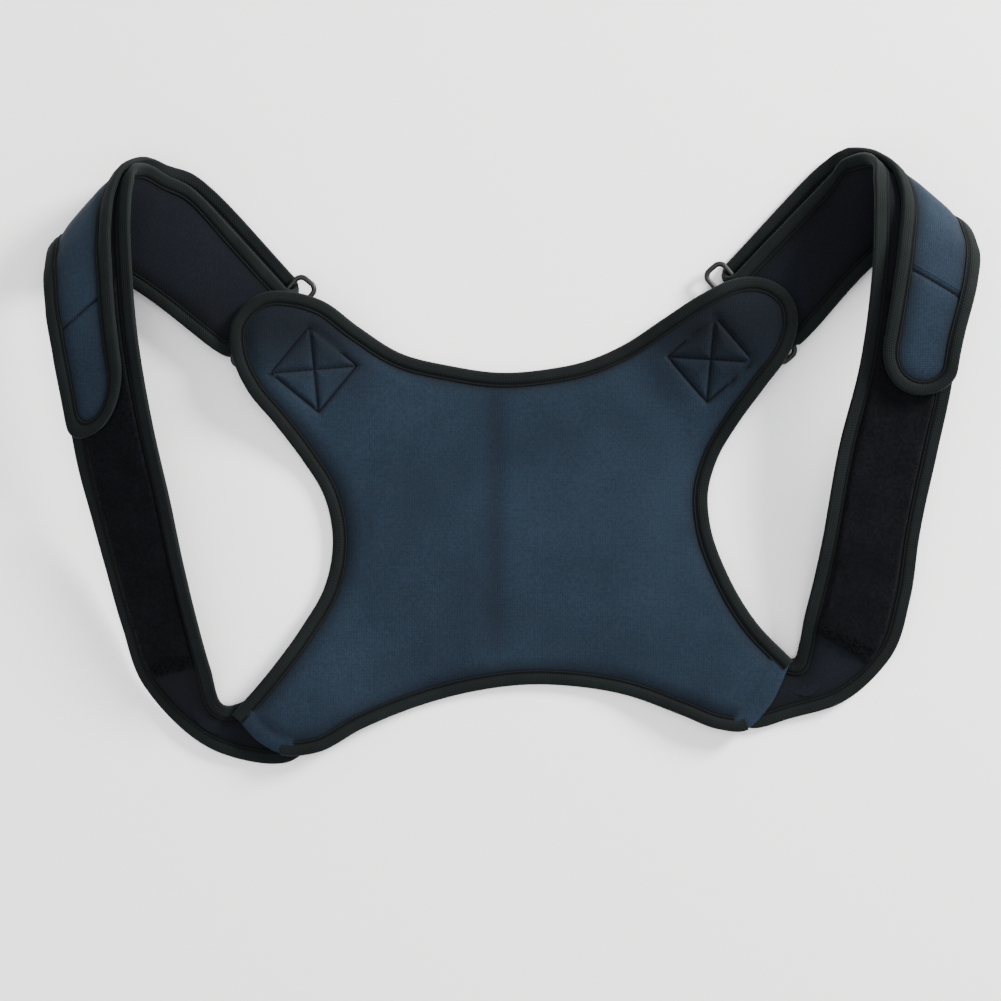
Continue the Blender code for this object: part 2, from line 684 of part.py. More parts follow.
def add_panel_tape(name, curve, material):
    """Folded tape along part of the panel's edge, standing on the table where the panel does."""
    section = [
        (TAPE_WIDE, PANEL_THICK), (0, PANEL_THICK), (0, 0), (TAPE_WIDE, 0),
        (TAPE_WIDE, TAPE_THICK), (TAPE_THICK, TAPE_THICK), (TAPE_THICK, PANEL_THICK - TAPE_THICK),
        (TAPE_WIDE, PANEL_THICK - TAPE_THICK),
    ]
    rings = []
    for point, normal in zip(curve, outline_normals(curve)):
        ring = []
        for s, z in section:
            x, y = point + normal * s
            ring.append((x, y, rise_at(x, y, LOBES) + z))
        rings.append(ring)
    return add_sweep(name, np.array(rings), material)


def add_ring(side, lobe, material):
    """A rectangular ring of round bar, its outer bar in the strap's turn and its inner bar in the webbing."""
    radius = RING_CORNER
    half_long = lobe.long / 2 + RING_SPARE + RING_BAR / 2
    depth = RING_SLOT + RING_BAR
    corners = [(0, 1), (0, -1), (-1, -1), (-1, 1)]
    points = []
    for k, (back, aside) in enumerate(corners):
        centre = (back * depth + (radius if back else -radius), aside * (half_long - radius))
        for step in range(RING_CORNER_STEPS + 1):
            angle = math.pi / 2 * step / RING_CORNER_STEPS
            quarter = [(math.sin(angle), math.cos(angle)), (math.cos(angle), -math.sin(angle)),
                       (-math.sin(angle), -math.cos(angle)), (-math.cos(angle), math.sin(angle))][k]
            points.append((centre[0] + quarter[0] * radius, centre[1] + quarter[1] * radius))
    pivot = lobe.place(-depth, 0, RING_HEIGHT)
    curve = bpy.data.curves.new(f"{side}_ring", "CURVE")
    curve.dimensions = "3D"
    curve.bevel_depth = RING_BAR / 2
    curve.bevel_resolution = 2
    line = curve.splines.new("POLY")
    line.points.add(len(points) - 1)
    for slot, (forward, aside) in zip(line.points, points):
        slot.co = (*(lobe.place(forward, aside, RING_HEIGHT) - pivot), 1.0)
    line.use_cyclic_u = True
    curve.materials.append(material)
    item = bpy.data.objects.new(f"{side}_ring", curve)
    item.location = pivot
    bpy.context.scene.collection.objects.link(item)
    ends = [lobe.place(-depth, reach, RING_HEIGHT) for reach in (-AXIS_HALF, AXIS_HALF)]
    report_axis(f"{side}_ring_swivel", *ends)


def add_webbing(side, lobe, material):
    """One strip of webbing folded round the ring's inner bar, both ends flat under the lobe."""
    depth = RING_SLOT + RING_BAR
    start = -BOX_BACK - BOX_SIDE / 2
    bar = -depth
    turn = RING_BAR / 2 + GAP + WEB_THICK / 2
    near = bar - WEB_LEAVES_LOBE

    def under_panel(forward, below):
        spots = [lobe.place(forward, aside, 0)[:2] for aside in (-WEB_WIDE / 2, 0, WEB_WIDE / 2)]
        return min(rise_at(*spot, LOBES) for spot in spots) - 3 * GAP - below

    upper = [(f, under_panel(f, WEB_THICK / 2)) for f in np.linspace(start, near, 8)]
    lower = [(f, under_panel(f, WEB_THICK * 1.5 + GAP)) for f in np.linspace(near, start, 8)]
    angles = np.linspace(-WEB_PAST_HALF_TURN, math.pi + WEB_PAST_HALF_TURN, 9)
    arc = [(bar + math.sin(a) * turn, RING_HEIGHT + math.cos(a) * turn) for a in angles]
    path = np.array(upper + arc + lower)
    tangents = unit(np.gradient(path, axis=0))
    normals = np.stack([-tangents[:, 1], tangents[:, 0]], axis=1)
    low, high = [], []
    for (f, z), (nf, nz) in zip(path, normals):
        half = WEB_THICK / 2
        low.append([lobe.place(f - nf * half, a, z - nz * half) for a in (-WEB_WIDE / 2, WEB_WIDE / 2)])
        high.append([lobe.place(f + nf * half, a, z + nz * half) for a in (-WEB_WIDE / 2, WEB_WIDE / 2)])
    return add_slab(f"{side}_ring_webbing", np.array(low), np.array(high), material)


def add_box_stitch(side, lobe, material):
    """A square of thread with its diagonals, sewn through the lobe and the webbing beneath."""
    half, wide = BOX_SIDE / 2, THREAD_WIDE / 2
    inner = half - 2 * wide
    reach = inner - wide * math.sqrt(2)
    flat = [(-half, -half), (half, -half), (half, half), (-half, half)]
    rings = [list(range(4))]
    for turn in range(4):
        c, s = math.cos(turn * math.pi / 2), math.sin(turn * math.pi / 2)
        across, along = inner / 2 + wide, inner / 2 - wide * 0.4
        hole = [(inner, -reach), (inner, 0), (inner, reach), (across, along), (wide * math.sqrt(2), 0),
                (across, -along)]
        rings.append(list(range(len(flat), len(flat) + len(hole))))
        flat += [(x * c - y * s, x * s + y * c) for x, y in hole]
    edges = [(a, b) for ring in rings for a, b in zip(ring, ring[1:] + ring[:1])]
    points, _, faces, *_ = delaunay_2d_cdt(flat, edges, [], 1, 1e-9)
    points = np.array([tuple(p) for p in points])
    kept = []
    for face in faces:
        middle = points[list(face)].mean(axis=0)[None]
        if not any(distance_to_loop(middle, np.array([flat[k] for k in ring]))[0] > 0 for ring in rings[1:]):
            kept.append(list(face))
    spots = [lobe.place(f - BOX_BACK, a + BOX_ASIDE, 0)[:2] for f, a in points]
    low = np.array([(x, y, rise_at(x, y, LOBES) + PANEL_THICK + 2 * GAP) for x, y in spots])
    return close_up(f"{side}_box_stitch", low, low + [0, 0, THREAD_THICK], kept, material)


def centre_on_floor():
    """Moves everything so that the whole object stands on z = 0, centred on the origin."""
    bpy.context.view_layer.update()
    corners = []
    for item in bpy.context.scene.objects:
        corners += [item.matrix_world @ v.co for v in item.to_mesh().vertices]
        item.to_mesh_clear()
    corners = np.array([tuple(p) for p in corners])
    low, high = corners.min(axis=0), corners.max(axis=0)
    shift = np.array([*((low + high) / 2)[:2], low[2]])
    for item in bpy.context.scene.objects:
        item.location = np.array(item.location) - shift
    print("SHIFT", [round(float(x), 5) for x in shift], "SIZE", [round(float(x), 4) for x in high - low])


clear_scene()
MATERIALS = make_materials()
LOBES = {side: Lobe(add_strap(side, MATERIALS)) for side in SIDES}
add_panel(MATERIALS)
for side_name, side_lobe in LOBES.items():
    add_ring(side_name, side_lobe, MATERIALS["ring"])
    add_webbing(side_name, side_lobe, MATERIALS["webbing"])
    add_box_stitch(side_name, side_lobe, MATERIALS["thread"])
centre_on_floor()
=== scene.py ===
"""Looks of a back brace: bound neoprene panel and straps, rings, hook-and-loop tabs and their stitching.

Metres, +Z up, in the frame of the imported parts. Each strap is a ribbon between two edge curves. A place on
it is (along, across, out): along from its ring, across from its inner edge, and out from its middle on the
side with the pile.
"""

import math

import bmesh
import bpy
import numpy as np
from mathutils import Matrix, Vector, noise
from mathutils.geometry import delaunay_2d_cdt


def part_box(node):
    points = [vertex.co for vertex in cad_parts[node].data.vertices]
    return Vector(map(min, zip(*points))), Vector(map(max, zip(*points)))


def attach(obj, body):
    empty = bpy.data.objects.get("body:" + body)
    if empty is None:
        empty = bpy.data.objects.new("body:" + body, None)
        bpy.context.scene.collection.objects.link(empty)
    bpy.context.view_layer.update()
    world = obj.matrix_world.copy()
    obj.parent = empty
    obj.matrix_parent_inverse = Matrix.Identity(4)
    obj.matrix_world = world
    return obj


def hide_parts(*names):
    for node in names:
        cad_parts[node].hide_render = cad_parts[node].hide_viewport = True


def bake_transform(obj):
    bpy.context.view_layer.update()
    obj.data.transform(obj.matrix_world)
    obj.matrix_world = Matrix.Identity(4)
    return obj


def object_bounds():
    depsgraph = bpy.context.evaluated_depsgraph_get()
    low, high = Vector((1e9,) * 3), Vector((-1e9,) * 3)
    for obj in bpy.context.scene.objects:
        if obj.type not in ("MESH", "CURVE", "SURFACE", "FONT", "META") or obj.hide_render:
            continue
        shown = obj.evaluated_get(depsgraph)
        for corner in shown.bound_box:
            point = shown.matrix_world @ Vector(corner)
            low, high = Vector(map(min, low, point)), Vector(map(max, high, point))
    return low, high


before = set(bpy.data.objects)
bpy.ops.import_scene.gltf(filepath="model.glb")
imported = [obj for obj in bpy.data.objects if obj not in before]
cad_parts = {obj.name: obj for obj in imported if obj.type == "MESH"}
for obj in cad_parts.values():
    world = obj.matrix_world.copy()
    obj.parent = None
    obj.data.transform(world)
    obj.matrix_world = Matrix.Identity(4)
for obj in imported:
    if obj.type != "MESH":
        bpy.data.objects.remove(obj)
CAD_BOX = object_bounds()

bl_info = {
    "name": "Back brace",
    "version": (1, 0, 0),
    "blender": (4, 5, 0),
    "location": "3D View > Sidebar > Back brace",
    "description": "Builds the fabric, stitching, rings and stage of a posture back brace",
    "category": "Object",
}

MM = 0.001

# Fabric thicknesses and widths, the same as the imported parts'
GAP = 0.0003
STRAP_THICK = 0.0032
PANEL_THICK = 0.0042
TAPE_WIDE = 0.0086
TAPE_THICK = 0.0006
TAPE_PROUD = 0.0003
TAPE_ROUND = TAPE_WIDE * 0.27
TAPE_ROUND_STEPS = 5
TAPE_CROWN = 7
PILE_WIDE = 0.038
PILE_THICK = 0.0015
HOOK_MARGIN = 0.002
HOOK_SETBACK = 0.004
HOOK_THICK = 0.0014
HOOK_BASE = 0.0009
RING_BAR = 0.0032
RING_SLOT = 0.010
RING_LOOSE = 0.0013
RING_SPARE = 0.0015
RING_CORNER = 0.0045
WEB_WIDE = 0.038
WEB_THICK = 0.0012
WEB_LEAVES_LOBE = 0.010
WEB_PAST_HALF_TURN = 0.5
BOX_SIDE = 0.036
BOX_BACK = 0.043
BOX_ASIDE = 0.0055
FLAP_SETBACK = 0.0095
TAB_ROUND = 0.024
HALF = STRAP_THICK / 2
EDGE_HALF = HALF + TAPE_PROUD
THIN = EDGE_HALF - TAPE_THICK - GAP
RING_LAYER = RING_BAR + 2 * RING_LOOSE + STRAP_THICK
ARCH_LAYER = 2 * EDGE_HALF + 4 * GAP
BAND_LAYER = STRAP_THICK + PILE_THICK + HOOK_THICK + 3 * GAP
REST_HEIGHT = 2 * GAP + EDGE_HALF
DRAWN_REST_HEIGHT = 0.0023
DRAWN_LAYER = 0.0090
LOBE_RISE = REST_HEIGHT + RING_LAYER + EDGE_HALF + 2 * GAP
CORNER_RISE = {"left": 2 * EDGE_HALF + 0.0046, "right": 2 * EDGE_HALF + 0.0030}
RING_HEIGHT = REST_HEIGHT + RING_LAYER / 2

# Edge points of each strap from ring to sewn end, in mm: inner edge, then outer edge
STRAPS = {
    "left": [
        ((-130, 106, 11.2), (-168, 60, 11.2)),
        ((-183, 163, 12), (-179, 63, 11)),
        ((-204, 174, 17), (-225, 98, 11)),
        ((-213, 177, 25), (-254, 115, 16)),
        ((-219, 172, 36), (-268, 119, 25)),
        ((-222, 160, 44), (-272, 103, 34)),
        ((-223, 140, 49), (-271, 81, 38)),
        ((-222, 110, 50), (-267, 54, 37)),
        ((-219, 70, 48), (-262, 23, 32)),
        ((-210, 14, 44), (-257, -10, 22)),
        ((-202, -23, 41), (-251, -35, 16)),
        ((-194, -64, 37), (-243, -68, 9)),
        ((-187, -96, 32), (-234, -102, 5)),
        ((-180, -125, 23), (-221, -138, 2.8)),
        ((-172, -149, 8), (-178, -177, 2.2)),
        ((-155, -143, 2.4), (-138, -184, 2.2)),
        ((-132, -128, 2.2), (-114, -166, 2.2)),
    ],
    "right": [
        ((125, 114, 11.2), (167, 65, 11.2)),
        ((185, 177, 12.5), (179, 75, 11)),
        ((194, 184, 19), (216, 115, 11)),
        ((201, 182, 31), (243, 134, 18)),
        ((206, 174, 41), (256, 134, 30)),
        ((208, 160, 47), (262, 120, 39)),
        ((208, 133, 50), (263, 100, 44)),
        ((206, 96, 48), (258, 69, 44)),
        ((201, 54, 42), (255, 40, 38)),
        ((190, 6, 34), (248, 1, 30)),
        ((181, -52, 24), (239, -50, 20)),
        ((177, -74, 18), (235, -85, 14)),
        ((172, -97, 12), (223, -122, 8)),
        ((170, -111, 7), (195, -148, 4)),
        ((167, -121, 3.6), (166, -157, 2.4)),
        ((152, -117, 2.3), (141, -163, 2.2)),
        ((134, -108, 2.2), (120, -146, 2.2)),
    ],
}
SIDES = {"left": -1, "right": 1}
HINGE_TOP = 1
HINGE_LOW = 14
ARCH = (3, 5)
TAB_HINGE = {"left": 6.5, "right": 6.3}
TAB_TIP = {"left": 8.62, "right": 8.22}
PILE_FROM = 6.9
PILE_TO = {"left": 12.9, "right": 12.2}
# The line sewn across each tab, past the tab's hinge: at its inner end, then at its outer end
CROSS_LINE = {"left": (0.016, 0.0005), "right": (0.003, 0.003)}
# How far the strap's inner edge is set in, at stations along it: the single layer, then the doubled end
SINGLE_IN = ((0, 2, 3, 4, 5), (0.0085, 0.0080, 0.0060, 0.0030, 0.0))
DOUBLED_IN = ((0, 1, 3, 5, 6.3), (0.0005, 0.0005, 0.0040, 0.0085, FLAP_SETBACK))
# How far the doubled end lies over towards the outer edge
LEANS = {
    "left": ((0, 9), (0.0, 0.0)),
    "right": ((0, 2, 3, 5, 6.3, 8.2), (0.0, 0.001, 0.004, 0.0055, 0.003, 0.0)),
}
FOLD_TOP_SHARE = 0.9
FOLD_LOW_SHARE = 0.5

# Panel outline in mm, round the armholes, lobes and neck, then back along the bottom
PANEL_TOP = [
    (166, -122), (144, -99), (127, -70), (117, -40), (116, -22), (121, -3), (134, 20), (149, 41), (164, 63),
    (168, 79), (165, 93), (156, 102), (144, 106), (131, 105), (111, 96), (89, 82), (66, 67), (43, 57),
    (19, 52), (-8, 50), (-38, 54), (-69, 62), (-93, 77), (-114, 92), (-131, 97), (-148, 97), (-161, 89),
    (-168, 78),
    (-168, 61), (-159, 39), (-143, 19), (-126, -4), (-115, -22), (-109, -49), (-114, -79), (-127, -102),
    (-145, -127), (-168, -154),
]
PANEL_LOW = [
    (-168, -154), (-153, -171), (-140, -178), (-118, -177), (-91, -163), (-58, -150), (-24, -141),
    (10, -137), (35, -138), (66, -143), (100, -155), (121, -163), (138, -164), (151, -152), (166, -122),
]
CORNERS = {"left": ((-150, -166), (-0.80, -0.60)), "right": ((152, -140), (0.85, -0.53))}
LOBE_START = 0.088
LOBE_END = 0.006
CORNER_START = 0.100
CORNER_END = 0.020
LEFT_CUT_EDGE = 0.038
RIGHT_CUT_EDGE = 0.050

# How the cloth is pulled in: the fold down the panel's middle, and the lines of its box stitches, each as
# (how deep, how far it reaches)
FOLD_X = -0.013
FOLD_DENT = (0.0008, 0.007)
SEWN_DENT = (0.0013, 0.0013)
SEWN_HOLLOW = (0.0009, 0.005)
CROSS_DENT = (0.0009, 0.001)
CROSS_HOLLOW = (0.00036, 0.004)
PANEL_WAVE = 0.0009
STRAP_WAVE = 0.00035

# How closely the cloth is divided and sewn. OPEN_CLOTH is a depth that is far from any edge
ROW_STEP = 0.0025
OUTLINE_STEP = 0.0028
PANEL_GRID = 0.0032
BOX_GRID = 0.001
EDGE_INSETS = (0.0009, 0.003, 0.006, 0.0080, 0.0086, 0.0091, 0.0098, 0.0110, 0.0126, 0.0148, 0.0176)
TAB_INSETS = (*EDGE_INSETS, 0.0205)
OPEN_CLOTH = 0.02
TURN_ROWS = 10
BOX_STITCH_PITCH = 1.05
STITCH_SEGMENTS = 6
STITCH_RINGS = 4

# Drawn spacing of each weave, and drawn size of each plastic's grit
WALE = 1.5 * MM
COURSE = 1.3 * MM
RIB = 1.2 * MM
WEFT = 1.6 * MM
YARN = 1.6 * MM
YARN_TWIST = 1.1 * MM
HOOK_GRIT = 0.8 * MM
RING_GRIT = 1.5 * MM

# Hooks, nap fibres and tack threads
HOOK_LONG = 0.0010
HOOK_RADIUS = 0.00022
FIBRE_WIDE = 0.00013
FIBRE_STATIONS = 160
TACK_THREADS = 90

# The stage: each light's place, size, power and colour, and where the camera hangs
LIGHTS = {
    "key": ((1.7, 1.2, 0.95), 0.7, 165, (1.0, 0.99, 0.97)),
    "fill": ((-1.2, -0.9, 1.6), 1.6, 12, (0.96, 0.98, 1.0)),
    "top": ((0.0, 0.1, 2.6), 2.0, 45, (1.0, 1.0, 1.0)),
}
ROOM_STRENGTH = 0.9
FLOOR_SIDE = 12
FLOOR_DROP = 0.0004
LENS_MM = 85
SENSOR_MM = 36
CAMERA_ASIDE = (-0.0032, -0.0269)
CAMERA_HEIGHT = 1.418


def smooth_step(x):
    """An even ramp from 0 to 1 with soft ends."""
    x = np.clip(x, 0.0, 1.0)
    return x * x * (3 - 2 * x)


def unit(vectors):
    """The same directions with length 1."""
    return vectors / np.linalg.norm(vectors, axis=-1, keepdims=True)


def spline(knots, points, t):
    """Place and direction on the smooth curve that passes each of the points at its knot."""
    slopes = np.gradient(points, knots, axis=0)
    i = int(np.clip(np.searchsorted(knots, t, side="right") - 1, 0, len(knots) - 2))
    span = knots[i + 1] - knots[i]
    x = (t - knots[i]) / span
    a, b, da, db = points[i], points[i + 1], slopes[i] * span, slopes[i + 1] * span
    place = a * (2 * x**3 - 3 * x**2 + 1) + da * (x**3 - 2 * x**2 + x)
    place = place + b * (3 * x**2 - 2 * x**3) + db * (x**3 - x**2)
    slope = a * (6 * x**2 - 6 * x) + da * (3 * x**2 - 4 * x + 1)
    slope = slope + b * (6 * x - 6 * x**2) + db * (3 * x**2 - 2 * x)
    return place, slope / span


def lengths_of(points):
    """Length along a line of points, up to each of them."""
    return np.concatenate([[0], np.cumsum(np.linalg.norm(np.diff(points, axis=0), axis=1))])


class Strap:
    """The ribbon of one strap."""

    def __init__(self, side):
        self.side = side
        drawn = np.array(STRAPS[side], float) * MM
        count = len(drawn)
        layered = np.clip((HINGE_LOW - 2 - np.arange(count)) / 8, 0, 1)
        drawn[:, :, 2] += (REST_HEIGHT - DRAWN_REST_HEIGHT + layered * (RING_LAYER - DRAWN_LAYER))[:, None]
        self.inner, self.outer = drawn[:, 0], drawn[:, 1]
        self.knots = lengths_of(drawn.mean(axis=1))
        self.hinge_top, self.hinge_low = self.along(HINGE_TOP), self.along(HINGE_LOW)
        self.tab_start = self.along(TAB_HINGE[side])
        self.tab_tip = self.along(TAB_TIP[side])
        self.grid = np.arange(0, self.knots[-1] + MM, MM)
        self.inner_reach, self.outer_reach = self.reaches()

    def along(self, station):
        """The length along the strap at a station, counted in edge points from the ring."""
        return float(np.interp(station, np.arange(len(self.knots)), self.knots))

    def varying(self, table, t):
        """A value that changes smoothly along the strap, from its table of stations and values."""
        stations, values = table
        knots = np.array([self.along(station) for station in stations])
        return float(spline(knots, np.array(values), np.clip(t, knots[0], knots[-1]))[0])

    def insets(self, t, doubled):
        """How far the inner and outer edges of one layer are set in."""
        lean = self.varying(LEANS[self.side], t) if doubled else 0.0
        return self.varying(DOUBLED_IN if doubled else SINGLE_IN, t) + lean, -lean

    def edges(self, t):
        """The inner and outer edge points at t, then the direction of each edge there."""
        a, da = spline(self.knots, self.inner, t)
        b, db = spline(self.knots, self.outer, t)
        return a, b, da, db

    def reaches(self):
        """The strap's width square to its inner edge and to its outer edge, evened out along it."""
        found = []
        for t in self.grid:
            a, b, da, db = self.edges(t)
            ruling = b - a
            found.append([np.linalg.norm(np.cross(unit(slope), ruling)) for slope in (da, db)])
        weights = np.exp(-(np.arange(-24, 25) / 9.0) ** 2)
        padded = np.pad(np.array(found), ((24, 24), (0, 0)), mode="edge")
        return [np.convolve(column, weights / weights.sum(), mode="valid") for column in padded.T]

    def from_inner(self, t, distance):
        """How far across, from 0 at the inner edge to 1, a distance from that edge is."""
        return distance / np.interp(t, self.grid, self.inner_reach)

    def from_outer(self, t, distance):
        """The same for a distance from the outer edge."""
        return 1 - distance / np.interp(t, self.grid, self.outer_reach)

    def from_edge(self, edge, t, distance, insets):
        """How far across a distance from one set-in edge is, by the edge's name."""
        if edge == "inner":
            return self.from_inner(t, distance + insets[0])
        return self.from_outer(t, distance + insets[1])

    def at(self, t, v, h):
        """Places t along, v across and h out, for lists of v and h."""
        a, b, da, db = self.edges(t)
        v = np.atleast_1d(v)[:, None]
        h = np.atleast_1d(h)[:, None]
        normal = unit(SIDES[self.side] * np.cross(da * (1 - v) + db * v, b - a))
        return a * (1 - v) + b * v + normal * h

    def layer(self, t):
        """How far out the doubled end lies from the strap beneath it."""
        arch_in = smooth_step((t - self.hinge_top) / (self.along(ARCH[0]) - self.hinge_top))
        arch_out = smooth_step((t - self.along(ARCH[1])) / (self.along(PILE_FROM) - self.along(ARCH[1])))
        return RING_LAYER + (ARCH_LAYER - RING_LAYER) * arch_in + (BAND_LAYER - ARCH_LAYER) * arch_out

    def turned(self, angle, v, h):
        """Places in the turn round the ring's bar."""
        a, b, da, db = self.edges(0)
        v = np.atleast_1d(v)[:, None]
        h = np.atleast_1d(h)[:, None]
        tangent = da * (1 - v) + db * v
        normal = unit(SIDES[self.side] * np.cross(tangent, b - a))
        outward = -normal * math.cos(angle) - unit(tangent) * math.sin(angle)
        return a * (1 - v) + b * v + normal * RING_LAYER / 2 + outward * (RING_LAYER / 2 + h)

    def rows(self):
        """The strap's rows from its sewn end to the ring, round it, and back to the tab.

        Each is (place, t, insets, doubled). place(v, h) gives the places v across and h out on the side that
        faces away from the strap's other layer.
        """
        found = []
        for t in np.linspace(self.knots[-1], 0, round(self.knots[-1] / ROW_STEP) + 1):
            found.append((lambda v, h, t=t: self.at(t, v, -h), t, self.insets(t, False), False))
        for share in np.arange(1, TURN_ROWS) / TURN_ROWS:
            near = self.insets(0, False)[0] * (1 - share) + self.insets(0, True)[0] * share
            found.append((lambda v, h, angle=math.pi * share: self.turned(angle, v, h),
                          0.0, (near, 0.0), share > 0.5))
        for t in np.linspace(0, self.tab_start, round(self.tab_start / ROW_STEP) + 1):
            found.append((lambda v, h, t=t: self.at(t, v, self.layer(t) + h), t, self.insets(t, True), True))
        return found


class Lobe:
    """The frame of one ring under a lobe: forward is out along the strap, aside is along the ring's bar."""

    def __init__(self, strap):
        a, b = strap.inner[0], strap.outer[0]
        self.middle = np.array([*((a + b) / 2)[:2], RING_HEIGHT])
        self.aside = unit(b - a)
        self.forward = np.cross(self.aside, [0, 0, 1]) * -SIDES[strap.side]
        self.long = np.linalg.norm(b - a)

    def place(self, forward, aside, z):
        """A place in the drawn frame, from the middle of the ring's outer bar."""
        point = self.middle + self.forward * forward + self.aside * aside
        return np.array([point[0], point[1], z])


BANDS = {side: Strap(side) for side in SIDES}
LOBES = {side: Lobe(strap) for side, strap in BANDS.items()}


def frame_offset():
    """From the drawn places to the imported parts' frame, from where a ring lies in each."""
    drawn = LOBES["left"].place(-(RING_SLOT + RING_BAR) / 2, 0, RING_HEIGHT)
    low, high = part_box("left_ring")
    return (np.array(low) + np.array(high)) / 2 - drawn


OFFSET = frame_offset()


# ----------------------------------------------------------------------------------- sizes and colours


class BraceSizes(bpy.types.PropertyGroup):
    """Sizes that a maker would change."""

    strap_puff: bpy.props.FloatProperty(
        name="Strap puff", description="How far the foam stands over its half thickness", default=0.0005,
        unit="LENGTH")
    panel_puff: bpy.props.FloatProperty(
        name="Panel puff", description="How far the panel's foam stands over the seam", default=0.0011,
        unit="LENGTH")
    tape_dome: bpy.props.FloatProperty(
        name="Tape dome", description="How far the edge tape bulges", default=0.0004, unit="LENGTH")
    seam_in: bpy.props.FloatProperty(
        name="Seam inset", description="From the tape's inner side to its seam", default=0.0013,
        unit="LENGTH")
    stitch_pitch: bpy.props.FloatProperty(
        name="Stitch pitch", description="From one stitch to the next", default=0.0030, unit="LENGTH")
    stitch_long: bpy.props.FloatProperty(
        name="Stitch length", description="Thread showing in one stitch", default=0.0024, unit="LENGTH")
    thread_wide: bpy.props.FloatProperty(
        name="Thread width", description="Diameter of the thread", default=0.0006, unit="LENGTH")
    fibre_long: bpy.props.FloatProperty(
        name="Pile fibre length", description="Height of the loop tape's nap", default=0.0010, unit="LENGTH")
    fibre_count: bpy.props.IntProperty(
        name="Pile fibres", description="Number of fibres on each loop tape", default=14000)
    hook_pitch: bpy.props.FloatProperty(
        name="Hook pitch", description="From one hook to the next", default=0.0018, unit="LENGTH")


def colour_property(name, text, value):
    """A colour picker whose default is an sRGB hex value."""
    return bpy.props.FloatVectorProperty(
        name=name, description=text, default=hex_colour(value), size=4, subtype="COLOR", min=0, max=1)


def hex_colour(value):
    """An sRGB hex value as linear red, green, blue and alpha."""
    channels = [int(value[k:k + 2], 16) / 255 for k in (1, 3, 5)]
    return (*[c / 12.92 if c <= 0.04045 else ((c + 0.055) / 1.055) ** 2.4 for c in channels], 1.0)


class BraceColours(bpy.types.PropertyGroup):
    """Colours that a maker would change."""

    face: colour_property("Face", "Jersey of the panel, flaps and tabs", "#101a25")
    face_light: colour_property("Face, worn", "The same jersey where it is rubbed", "#182430")
    # The strap colours draw the strap's single layer darker than the face jersey of its doubled end, though
    # both are one length of cloth: painted shade.
    strap: colour_property("Strap", "Jersey of the single layer of strap", "#07090e")
    strap_light: colour_property("Strap, worn", "The same jersey where it is rubbed", "#0b0f17")
    lining: colour_property("Lining", "Jersey against the wearer", "#0b0d11")
    tape: colour_property("Edge tape", "Ground of the stretch binding", "#040808")
    tape_rib: colour_property("Edge tape ribs", "Raised ribs of the binding", "#0a0f0f")
    pile: colour_property("Loop tape", "Nap of the loop tape", "#050609")
    hook: colour_property("Hook tape", "Moulded hooks", "#0a0b0e")
    webbing: colour_property("Webbing", "Woven ring webbing", "#0b0c0e")
    thread: colour_property("Thread", "Bonded sewing thread", "#010204")
    ring: colour_property("Ring", "Moulded acetal ring", "#050506")
    floor: colour_property("Floor", "Plain pale floor", "#fbfbfb")


# ------------------------------------------------------------------------------------------- materials


def add_node(tree, kind, settings=None, links=None):
    """A node with its settings and inputs: an input takes a value, or the output of another node."""
    node = tree.nodes.new(kind)
    for key, value in (settings or {}).items():
        setattr(node, key, value)
    for key, value in (links or {}).items():
        socket = node.inputs[key]
        if isinstance(value, bpy.types.NodeSocket):
            tree.links.new(value, socket)
        else:
            socket.default_value = value
    return node


def new_material(name, **sockets):
    """An empty material with a Principled shader that holds these uniform values."""
    material = bpy.data.materials.new(name)
    material.use_nodes = True
    tree = material.node_tree
    tree.nodes.clear()
    names = {"sheen": "Sheen Weight", "sheen_rough": "Sheen Roughness", "rough": "Roughness", "ior": "IOR",
             "specular": "Specular IOR Level", "sheen_tint": "Sheen Tint"}
    values = {names[key]: value for key, value in sockets.items()}
    shader = add_node(tree, "ShaderNodeBsdfPrincipled", {}, values)
    add_node(tree, "ShaderNodeOutputMaterial", {}, {"Surface": shader.outputs["BSDF"]})
    return material, tree, shader


def bands_per_metre(period):
    """The Wave texture's scale for bands that repeat after this length."""
    return 2 * math.pi / (20 * period)


def mixed(tree, factor, a, b, blend="MIX"):
    """One colour laid over another; sockets 0, 6, 7 and 2 are the factor, both colours and the result."""
    settings = {"data_type": "RGBA", "blend_type": blend}
    return add_node(tree, "ShaderNodeMix", settings, {0: factor, 6: a, 7: b}).outputs[2]


def ranged(tree, value, low, high, start=0.0, end=1.0):
    """A value that runs from low to high as the given one runs from start to end."""
    node = add_node(tree, "ShaderNodeMapRange", {}, {
        "Value": value, "From Min": start, "From Max": end, "To Min": low, "To Max": high})
    return node.outputs[0]


def painted_shade_factor(tree, least):
    """A factor that darkens the cloth with painted shade: in the ditch of a seam, where little light gets
    in, and wherever else the mesh's shade attribute is set.
    """
    shade = add_node(tree, "ShaderNodeAttribute", {"attribute_name": "painted_shade"})
    return ranged(tree, shade.outputs["Fac"], 1.0, least)


